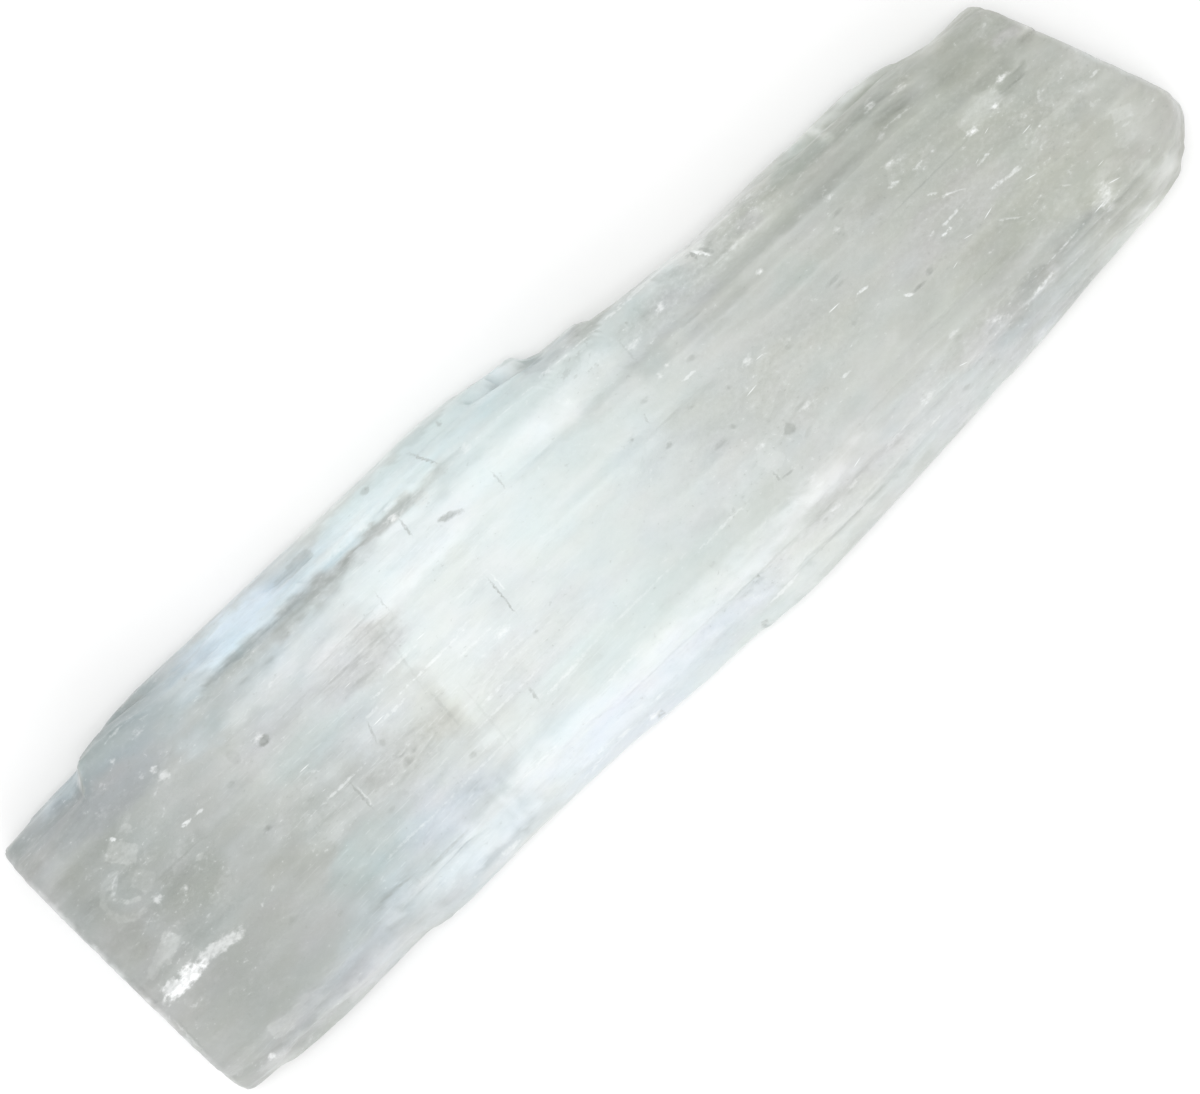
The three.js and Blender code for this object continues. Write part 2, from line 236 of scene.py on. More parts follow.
# of each mark its x, y, length and width, then its turn and its strength where they aren't 0 and 1
MARK_ROWS: dict[tuple[MarkKind, Outline], tuple[Row, ...]] = {
    # dark specks and small hollows, whose dark floors are painted shade
    (MarkKind.SHADED_PIT, Outline.BOX): (
        (-42.2, 25.4, 4, 1.2, -7, 0.42), (-39, 25.7, 4.4, 2.1, 3, 0.46), (25.6, -9.3, 1.6, 1.5, 40, 0.65),
        (83.2, 5.2, 5, 1.5, -4, 0.42),
    ),
    (MarkKind.SHADED_PIT, Outline.OVAL): (
        (-75, -11.2, 1.6, 0.9, 40, 0.3), (-69.2, -15.4, 0.9, 0.8, 40, 0.6), (-68.2, 0.7, 0.9, 0.7, 0, 0.6),
        (-67.8, 8.9, 1.2, 1, 0, 0.5), (-64.8, 11.6, 1.8, 2.6, 0, 0.35), (-62.2, 24.6, 0.8, 0.9, 0, 0.6),
        (-60, 10.2, 1.9, 1.3, 20), (-58.3, -19.6, 0.8, 1.8, 0, 0.5), (-56.4, 18.6, 2.4, 0.8, -6, 0.3),
        (-53.6, -9.6, 1.6, 0.7, 0, 0.4), (-51.6, 18.2, 1.6, 0.8, 0, 0.3), (-49, -7.6, 2.4, 0.7, 14, 0.35),
        (-47.8, -1.7, 1.8, 0.9, 60, 0.4), (-47.5, 20.6, 2.6, 0.9, 4, 0.35),
        (-47.3, -4.6, 1.6, 1, -20, 0.5), (-47.2, -6, 1.6, 1, 30, 0.5), (-46.9, -6.4, 2, 0.9, 10, 0.5),
        (-45.2, -5.4, 1.4, 0.8, 30, 0.35), (-44.4, 25.2, 2.6, 0.6, 9, 0.26),
        (-44, -3.4, 2.4, 0.6, -6, 0.35), (-44, 19.4, 1.8, 0.8, -12, 0.35),
        (-43.2, -6.6, 2.2, 0.6, 10, 0.35), (-39.7, -12, 1.2, 1.1, 0, 0.45),
        (-25.1, 26.7, 1.6, 1.2, 0, 0.6), (-21, -5.3, 0.8, 0.5, 0, 0.5), (-18.6, 15.4, 3.2, 1, -16, 0.9),
        (-16.9, 14.6, 0.8, 1, 0, 0.8), (-16.2, -26.5, 1.4, 0.9, 0, 0.9), (-10.5, 26.4, 0.8, 1.2, 0, 0.6),
        (4.1, -27.4, 1.4, 0.9, 0, 0.8), (4.2, -15.8, 0.9, 1.1, 0, 0.4), (7.6, -22, 1.7, 0.7, 62),
        (8, 5.2, 1.5, 0.5, 38, 0.6), (11.4, 1, 1.1, 0.8, 30, 0.5), (13.2, 8, 1.3, 0.7, 0, 0.4),
        (16.9, -4, 2.2, 0.8, 0, 0.4), (17.6, -17.9, 1.6, 0.6, 0, 0.3), (19.1, 17.8, 0.6, 0.6),
        (20, -3.4, 1, 0.8, 30, 0.45), (20.6, -22.6, 1.4, 0.5, 0, 0.5), (22, 17, 2.6, 1.2, 0, 0.3),
        (22.3, 7.8, 1.4, 0.8, -10, 0.45), (23.4, 1.1, 0.6, 0.7, 0, 0.6), (23.6, -1.2, 2.4, 0.6, 86, 0.3),
        (24.4, -6.2, 1.2, 0.7, 40, 0.35), (26.5, 11.9, 3, 0.6, 2, 0.3), (27, -11.6, 3, 0.6, 24, 0.3),
        (29, -8, 2, 0.5, 8, 0.45), (33.6, -0.7, 1.4, 0.8, -30, 0.35), (34.7, -12, 0.8, 0.8, 0, 0.5),
        (35.9, -21.6, 1.8, 0.6, 0, 0.35), (42.8, -4.6, 0.8, 0.8, 0, 0.4), (43, -3.6, 1.4, 0.6, 80, 0.35),
        (45, 1.9, 2.6, 0.6, 4, 0.4), (45.2, 0.9, 1.8, 0.6, -4, 0.35), (46.2, 16.2, 0.5, 0.5),
        (48.6, -22.7, 1.6, 0.6, 0, 0.45), (50.6, 6, 1.2, 0.6, 50, 0.4), (52, 8.6, 2, 0.7, 10, 0.45),
        (52.4, -16.4, 1.6, 0.6, -12, 0.4), (53.2, -7.3, 2, 0.5, 0, 0.7), (55.9, -6.6, 1.7, 0.9, 30, 0.6),
        (65.5, 14.2, 2.4, 1, 0, 0.35), (66.2, 13.6, 1.6, 0.7, 12, 0.4), (68.6, 14, 7.8, 1.8, -4, 0.22),
        (69.2, 13.6, 2.6, 1, 0, 0.35), (69.4, 14.2, 1.2, 0.8, -20, 0.35), (71.4, 14.8, 1.2, 0.8, 0, 0.3),
        (85.3, 0.4, 0.4, 0.4), (87.4, -14.6, 0.5, 0.4, 0, 0.5),
    ),
    (MarkKind.CRACK, Outline.OVAL): (
        (-96.9, -13.4, 7, 0.3, 88, 0.5), (-81, 6.2, 8.6, 0.4, 0, 0.8), (-61, -18.4, 6, 0.5, -3, 0.6),
        (-55.3, -5, 5.4, 0.4, 88, 0.8), (-53, 10.9, 10, 0.3, 1, 0.3), (-52, -19.4, 9, 0.5, 1, 0.5),
        (-48.4, 8.5, 5, 0.3, 0, 0.25), (-47.9, 0.4, 3.4, 0.4, 70, 0.7), (-46, 12.5, 6, 0.3, 1, 0.3),
        (-44, 9.7, 17, 0.34, 0, 0.28), (-43, 6.9, 5, 0.5, -4, 0.3), (-39, 13, 9, 0.34, 1, 0.4),
        (-38, -4.4, 7.4, 0.5, 88, 0.35), (-38, 11.2, 9, 0.3, -1, 0.3), (-37.8, 11.9, 5, 0.3, 2, 0.3),
        (-37.4, 8.9, 5, 0.3, -2, 0.3), (-37.2, 6, 15, 0.4, 80, 0.2), (-36.6, 7.7, 3.4, 0.3, 1, 0.25),
        (-34.4, -10, 14, 0.4, 86, 0.15), (-34, 13, 4.2, 0.3, 86, 0.4), (-27.3, -11.6, 2.4, 0.5, 84, 0.7),
        (-24.2, 18.4, 3.2, 0.5, 84, 0.8), (-20.9, 1.8, 6.4, 0.34, 86), (-15.7, 24.2, 5.2, 0.4, -62, 0.9),
        (-9.8, 14.3, 3.2, 0.3, 88, 0.6), (10, -21.4, 18, 0.3, 1, 0.25), (11.6, 5.9, 1.6, 0.4, 80, 0.5),
        (15, 3.8, 10, 0.4, 0, 0.3), (16.4, 15, 4.6, 0.3, 88, 0.4), (19.6, -13, 1.8, 0.4, 88, 0.7),
        (20.9, -13.8, 2.4, 0.4, -4, 0.7), (22, -25.1, 30, 0.3, 1.5, 0.35), (32.9, 18.4, 1.8, 0.7, 84, 0.9),
        (34.7, 17.6, 2.6, 0.6, -56, 0.9), (65, 3.1, 16, 0.3, 1, 0.6),
    ),
    # painted highlights across the fibres, some as the bright edge beside a crack
    (MarkKind.SPLIT, Outline.OVAL): (
        (-97.3, -13.4, 7, 0.3, 88, 0.25), (-89.9, 9.9, 3.4, 0.8, 38, 0.35),
        (-54.9, -5.4, 3.4, 0.3, 88, 0.4), (-19.9, 3.6, 3.4, 0.3, 88, 0.5), (33.8, 17.9, 3, 0.5, -58),
        (51.3, -7.1, 1.6, 0.5, -38, 0.7), (63.7, 1.1, 1.6, 0.35, -30, 0.6),
        (66.2, -0.9, 3.4, 0.3, -26, 0.45), (69.4, -9.2, 3.6, 0.4, -36, 0.45),
        (78.6, -11.2, 1.6, 0.3, -40, 0.3),
    ),
    (MarkKind.FLAKE, Outline.ARC): (
        (-89.2, 7.8, 9.4, 7.8, 8, 0.4), (-88.4, 8.6, 6, 5.6, 0, 0.9), (9.4, 11, 2.8, 1.2, 0, 0.4),
        (22.4, 9.2, 2.8, 2.6, 40, 0.6),
    ),
    (MarkKind.FLAKE, Outline.BOX): (
        (-90.6, -1.8, 4.6, 2.6, 24, 0.7), (-87, -21.4, 3.4, 2.6, -14, 0.6), (-86.4, 7.6, 3, 3.2, 30, 0.3),
        (-86, 12.6, 4.4, 3.2, -52, 0.7), (-19.7, 19.7, 2.4, 1.6, 10), (72.4, -14.2, 3, 1.6, 12, 0.3),
        (76.6, 5.1, 7, 2.4, 7, 0.46), (79.6, 5.4, 4, 1.4, -38, 0.6), (80.6, 3, 2.8, 1.6, 40, 0.25),
        (85.4, -2.6, 2.4, 1.8, 30, 0.3), (88.4, -16.8, 3.4, 2, -24, 0.35),
        (91.6, -9.3, 3.2, 1.9, -20, 0.8),
    ),
    (MarkKind.FLAKE, Outline.OVAL): (
        (-94.2, -2.8, 3.4, 1.6, 24, 0.5), (-83.6, -21.4, 2.6, 2, 20, 0.35), (-83, 14.6, 1.3, 1.7, 0, 0.7),
        (-80.6, -22.2, 2.2, 1.6, -20, 0.3), (-78.2, 4.4, 1.6, 1, 0, 0.6), (-45.8, 18.9, 2.8, 1.2, -4, 0.6),
        (-33, 21.6, 2.4, 1, 12, 0.6), (24.6, -3.2, 3, 1.8, 50, 0.25), (28.2, -13, 4.4, 1.6, 10, 0.3),
        (76.6, -12.4, 3.6, 2.2, 20, 0.35), (85.2, -6.2, 1.6, 1.6, 0, 0.35), (86.3, 10.2, 4.2, 1.6, 4, 0.5),
        (89.6, -12.5, 3.2, 1.5, 0, 0.5),
    ),
    # crushed white patches; those at (-60.7, 11.2) and (82.2, 6.3) are painted highlights on pit rims
    (MarkKind.FROST_AND_GLINT, Outline.OVAL): (
        (-94, -6.4, 3, 1.9, -20, 0.6), (-91.8, -7.1, 7.8, 1.9, 4), (-91.3, -23.5, 1, 0.9, 0, 0.7),
        (-90.9, -5.9, 1.9, 1, 12, 0.9), (-87.3, -0.5, 0.7, 0.8, 0, 0.4), (-86.8, 4.2, 1.1, 1.4, 0, 0.5),
        (-85, -6.8, 7.4, 1.9, -9, 0.5), (-84.7, 19, 0.8, 0.7, 0, 0.35), (-82.8, 2.5, 1, 1, 20, 0.5),
        (-82.2, -7.6, 1.4, 1.2, -30, 0.5), (-77.8, 23.1, 0.7, 0.6, 0, 0.5),
        (-74.6, 18.1, 0.9, 0.9, 0, 0.55), (-74, 16.5, 1.7, 1.4, 0, 0.45), (-72.6, 23.6, 1.6, 0.7, 0, 0.4),
        (-60.7, 11.2, 1.1, 0.6, 0, 0.8), (-34.2, 22.9, 2.4, 0.4, -6, 0.4), (-28.4, 22.6, 1.8, 0.5, 0, 0.5),
        (-24.5, 20.7, 1.8, 0.7, -10, 0.9), (-24.4, -2, 2, 1, 0, 0.5), (-16.9, -26, 1.4, 0.8, 0, 0.7),
        (-10.2, 20.9, 1.6, 1.2, 0, 0.35), (17.2, 9.1, 0.7, 0.6, 0, 0.5), (17.6, 15.1, 2.2, 0.9, 0, 0.4),
        (19.2, 9.6, 0.5, 0.45, 0, 0.5), (21, -8.1, 1, 0.5, 0, 0.4), (23, -22.2, 1.1, 0.5, 0, 0.5),
        (23.2, -16.8, 1.2, 0.6, 20, 0.35), (24, 16.1, 1.8, 1, 30, 0.45), (27.2, -21.5, 1.4, 0.6, 0, 0.4),
        (28, 2, 1.4, 0.8, 30, 0.35), (29.4, -8.5, 1.4, 0.5, 0, 0.35), (33.9, 0.2, 1, 0.6, -40, 0.3),
        (35.9, -20.8, 2.2, 0.5, 0, 0.35), (38.1, 10.1, 0.7, 0.5, 0, 0.7), (43.3, -19.6, 1.4, 0.6, 0, 0.4),
        (50.4, 6.9, 1.2, 0.8, 50, 0.4), (52.2, -15.6, 1.4, 0.6, 0, 0.4), (52.5, 11, 1, 0.6, 0, 0.4),
        (58.6, -18.6, 2.2, 0.7, -20, 0.4), (62, 8.6, 1.5, 0.6, -10, 0.4), (64.4, 12.4, 1.6, 0.6, 20, 0.3),
        (66, 16.6, 1.6, 0.7, 20, 0.5), (70.6, 15.5, 2, 0.4, 4, 0.5), (71.2, 15.2, 1.2, 0.7, 0, 0.35),
        (73.9, 3.7, 1.7, 0.7, 0, 0.8), (78.9, 4, 1.1, 0.9, 0, 0.8), (81.8, -16.4, 3.2, 1.2, 28, 0.5),
        (82.2, 6.3, 1.8, 0.5, 4, 0.7), (82.4, -14.8, 1.6, 0.9, 0, 0.35),
    ),
    # painted highlights: bright lines of colour where light would glance off lifted fibres
    (MarkKind.PAINTED_GLINT, Outline.OVAL): (
        (-85.8, 15, 1.5, 0.6, -48), (-76.3, 9.3, 1.9, 0.6), (-76.2, -6.5, 1.3, 0.6, 30, 0.5),
        (-75.5, 25.9, 5.6, 0.4, 3, 0.5), (-73.9, 9.2, 1.6, 0.4, 0, 0.7), (-73.5, -5.9, 1.3, 0.5, 30, 0.5),
        (-56.6, -2.2, 8, 0.34, 0, 0.6), (-54.6, -14.3, 9, 0.4, 0, 0.35), (-54, 15.4, 2.2, 0.5, 0, 0.5),
        (-53, -25, 2.6, 0.4, 0, 0.4), (-46.6, -4.6, 2.4, 0.4, 0, 0.45), (-45.9, 2.5, 2.4, 0.5, 0, 0.5),
        (-45.6, -25.6, 4.4, 0.6, 0, 0.7), (-43.6, 3.8, 2.6, 0.34, 0, 0.6), (-43.4, 0.6, 3, 0.5, 0, 0.55),
        (-40, -14, 20, 0.3, 2, 0.35), (-38.4, 5.1, 6, 0.3, 0, 0.4), (-35, 1.8, 9.4, 0.34, 1, 0.7),
        (-34, -19.2, 8, 0.4, 1, 0.5), (-31, -7.6, 3.6, 0.4, 0, 0.7), (-30.6, -9.6, 10, 0.34, 1, 0.5),
        (-30.6, -2.6, 5, 0.3, 0, 0.4), (-28.6, -0.4, 4.8, 0.34, 0, 0.5), (-28, -25.4, 4.6, 0.5, 2, 0.6),
        (-28, 2.4, 3.6, 0.3, 0, 0.4), (-26.4, -4.8, 4.8, 0.34, 1, 0.6), (-25.8, -24.4, 2.4, 0.4, 0, 0.5),
        (-23.6, 5.9, 5, 0.3, 0, 0.4), (-22.4, -24.9, 2.6, 0.6, 0, 0.6), (-22, -12.8, 7, 0.4, 1.6, 0.6),
        (-15, -17.6, 8, 0.5, 1, 0.5), (-14.8, -24.4, 2.4, 0.4, 0, 0.5), (-10, -12.2, 20, 0.3, 1.2, 0.3),
        (5.4, 21, 1.4, 0.4, 0, 0.8), (8.4, -12.9, 9, 0.4, 2, 0.45), (10, -25.6, 8, 0.5, 2, 0.7),
        (16, 20.4, 36, 0.4, -0.8, 0.6), (18, 15, 3.4, 0.34, 4, 0.4), (18.4, 17.5, 3.6, 0.4, 4, 0.5),
        (20.2, 6.2, 2.2, 0.4, 0, 0.6), (23.6, -18.2, 2.4, 0.4, 0, 0.4), (27.6, 2.2, 2, 0.5, 24, 0.4),
        (36.8, -9.2, 1.6, 0.4, -16, 0.6), (37.4, 15.3, 8.4, 0.5, 2, 0.3), (37.6, -20.4, 2.4, 0.4, 0, 0.4),
        (42.4, -23.1, 2.2, 0.4, 10, 0.5), (44.4, 19.2, 2.4, 0.4, -6, 0.5), (46.8, -2, 2, 0.4, -4),
        (54.6, 16.2, 7, 0.4, 1, 0.5), (60, -3.1, 1, 0.4, 0, 0.6), (60.5, 5.9, 2, 0.6, -14, 0.6),
        (61.4, -4.3, 1.7, 0.4, 4), (62, 16.4, 2.4, 0.4, 0, 0.5), (63.2, -3.2, 5, 0.34, 3, 0.7),
        (64.5, 5.5, 1.6, 0.34, 4, 0.5), (64.8, -0.3, 2.6, 0.34, -18, 0.6), (66.4, -19.4, 5, 0.5, 6, 0.7),
        (67.6, 12.5, 6.6, 0.4, 0, 0.4), (68.2, 5.6, 0.9, 0.4, 0, 0.7), (72, -4.4, 2.6, 0.5, -1, 0.8),
        (72.6, -20, 3, 0.34, 6, 0.4), (72.6, -0.3, 3.4, 0.4, 8, 0.7), (73, -17.3, 6.4, 0.3, 4, 0.6),
        (73.8, -10, 1.8, 0.34, 10, 0.7), (74.6, -4.7, 2.8, 0.7, -4, 0.7), (81.6, -2.5, 0.8, 0.4, 40, 0.6),
        (92.6, -2.4, 1.8, 0.5, 0, 0.6), (96.4, -11, 0.9, 0.5, 0, 0.8),
    ),
}
MARKS = tuple(
    Mark(kind, *row, outline=outline) for (kind, outline), rows in MARK_ROWS.items() for row in rows
)


# ---- clouds -----------------------------------------------------------------------------------------


@dataclass(frozen=True)
class Oval:
    """A soft oval seen from above, in millimetres, with its length along the slab.

    Attributes:
        x: place of its middle along the slab.
        y: its place across the slab.
        length: size along the slab.
        width: size across it.
        strength: how plainly it shows, from 0 to 1 or a little more.
    """

    x: float
    y: float
    length: float
    width: float
    strength: float = 1.0

    def away(self, places: np.ndarray) -> np.ndarray:
        """Gives how far off places are: 0 in the middle of the oval and 1 at its edge."""
        dx, dy = places[:, 0] - self.x, places[:, 1] - self.y
        return np.hypot(dx / (self.length / 2), dy / (self.width / 2))

    def share(self, places: np.ndarray) -> np.ndarray:
        """Gives the oval's strength at places, which falls to 0 just past its edge."""
        return self.strength * ease(self.away(places), 1.2, 0.6)


class CloudKind(Enum):
    """What a cloud in the stone is: how milky, how cool, how rosy and how crumbly it is."""

    # milky stone, and along the long sides painted light
    MILK_AND_LIGHT = (1.0, 0.0, 0.0, 0.0)
    # cool stone, and on the long sides a painted reflection of the window
    SKY_AND_REFLECTION = (0.1, 1.0, 0.0, 0.0)
    # painted shade: darker and cooler on the side towards +Y, which faces away from the window
    COOL_SHADE = (-1.0, 0.8, 0.0, 0.2)
    SMOKE = (-1.0, 0.0, 0.0, 0.1)
    MOSS = (-1.0, -0.5, -0.6, 0.2)
    CRUST = (-0.45, -0.4, 0.0, 1.0)
    EARTH = (-0.4, -1.0, 0.4, 0.2)
    STAIN = (-0.5, -3.0, 1.6, 0.2)
    MAUVE = (0.0, 0.2, 1.0, 0.1)
    TEAL = (0.0, 0.2, -1.0, 0.0)


@dataclass(frozen=True)
class Cloud(Oval):
    """A cloud of colour inside the stone; some on its long sides are painted light, reflection and shade.

    Attributes:
        core: how much of its half size shows at full strength, from 0 to 1.
        kind: what the cloud is.
    """

    core: float = 0.55
    kind: CloudKind = CloudKind.MILK_AND_LIGHT

    def shares(self, places: np.ndarray, fray: np.ndarray) -> np.ndarray:
        """Gives how milky, cool, rosy and crumbly the cloud makes places.

        Args:
            places: n by 3 places, in millimetres, already strayed so that edges are ragged.
            fray: noise from -1 to 1 at those places, which frays wide edges.

        Returns:
            4 by n numbers.
        """
        frayed = self.away(places) + 0.7 * (1 - self.core) * fray
        shown = self.strength * ease(frayed, 1.7 - 0.6 * self.core, self.core)
        return np.outer(self.kind.value, shown)


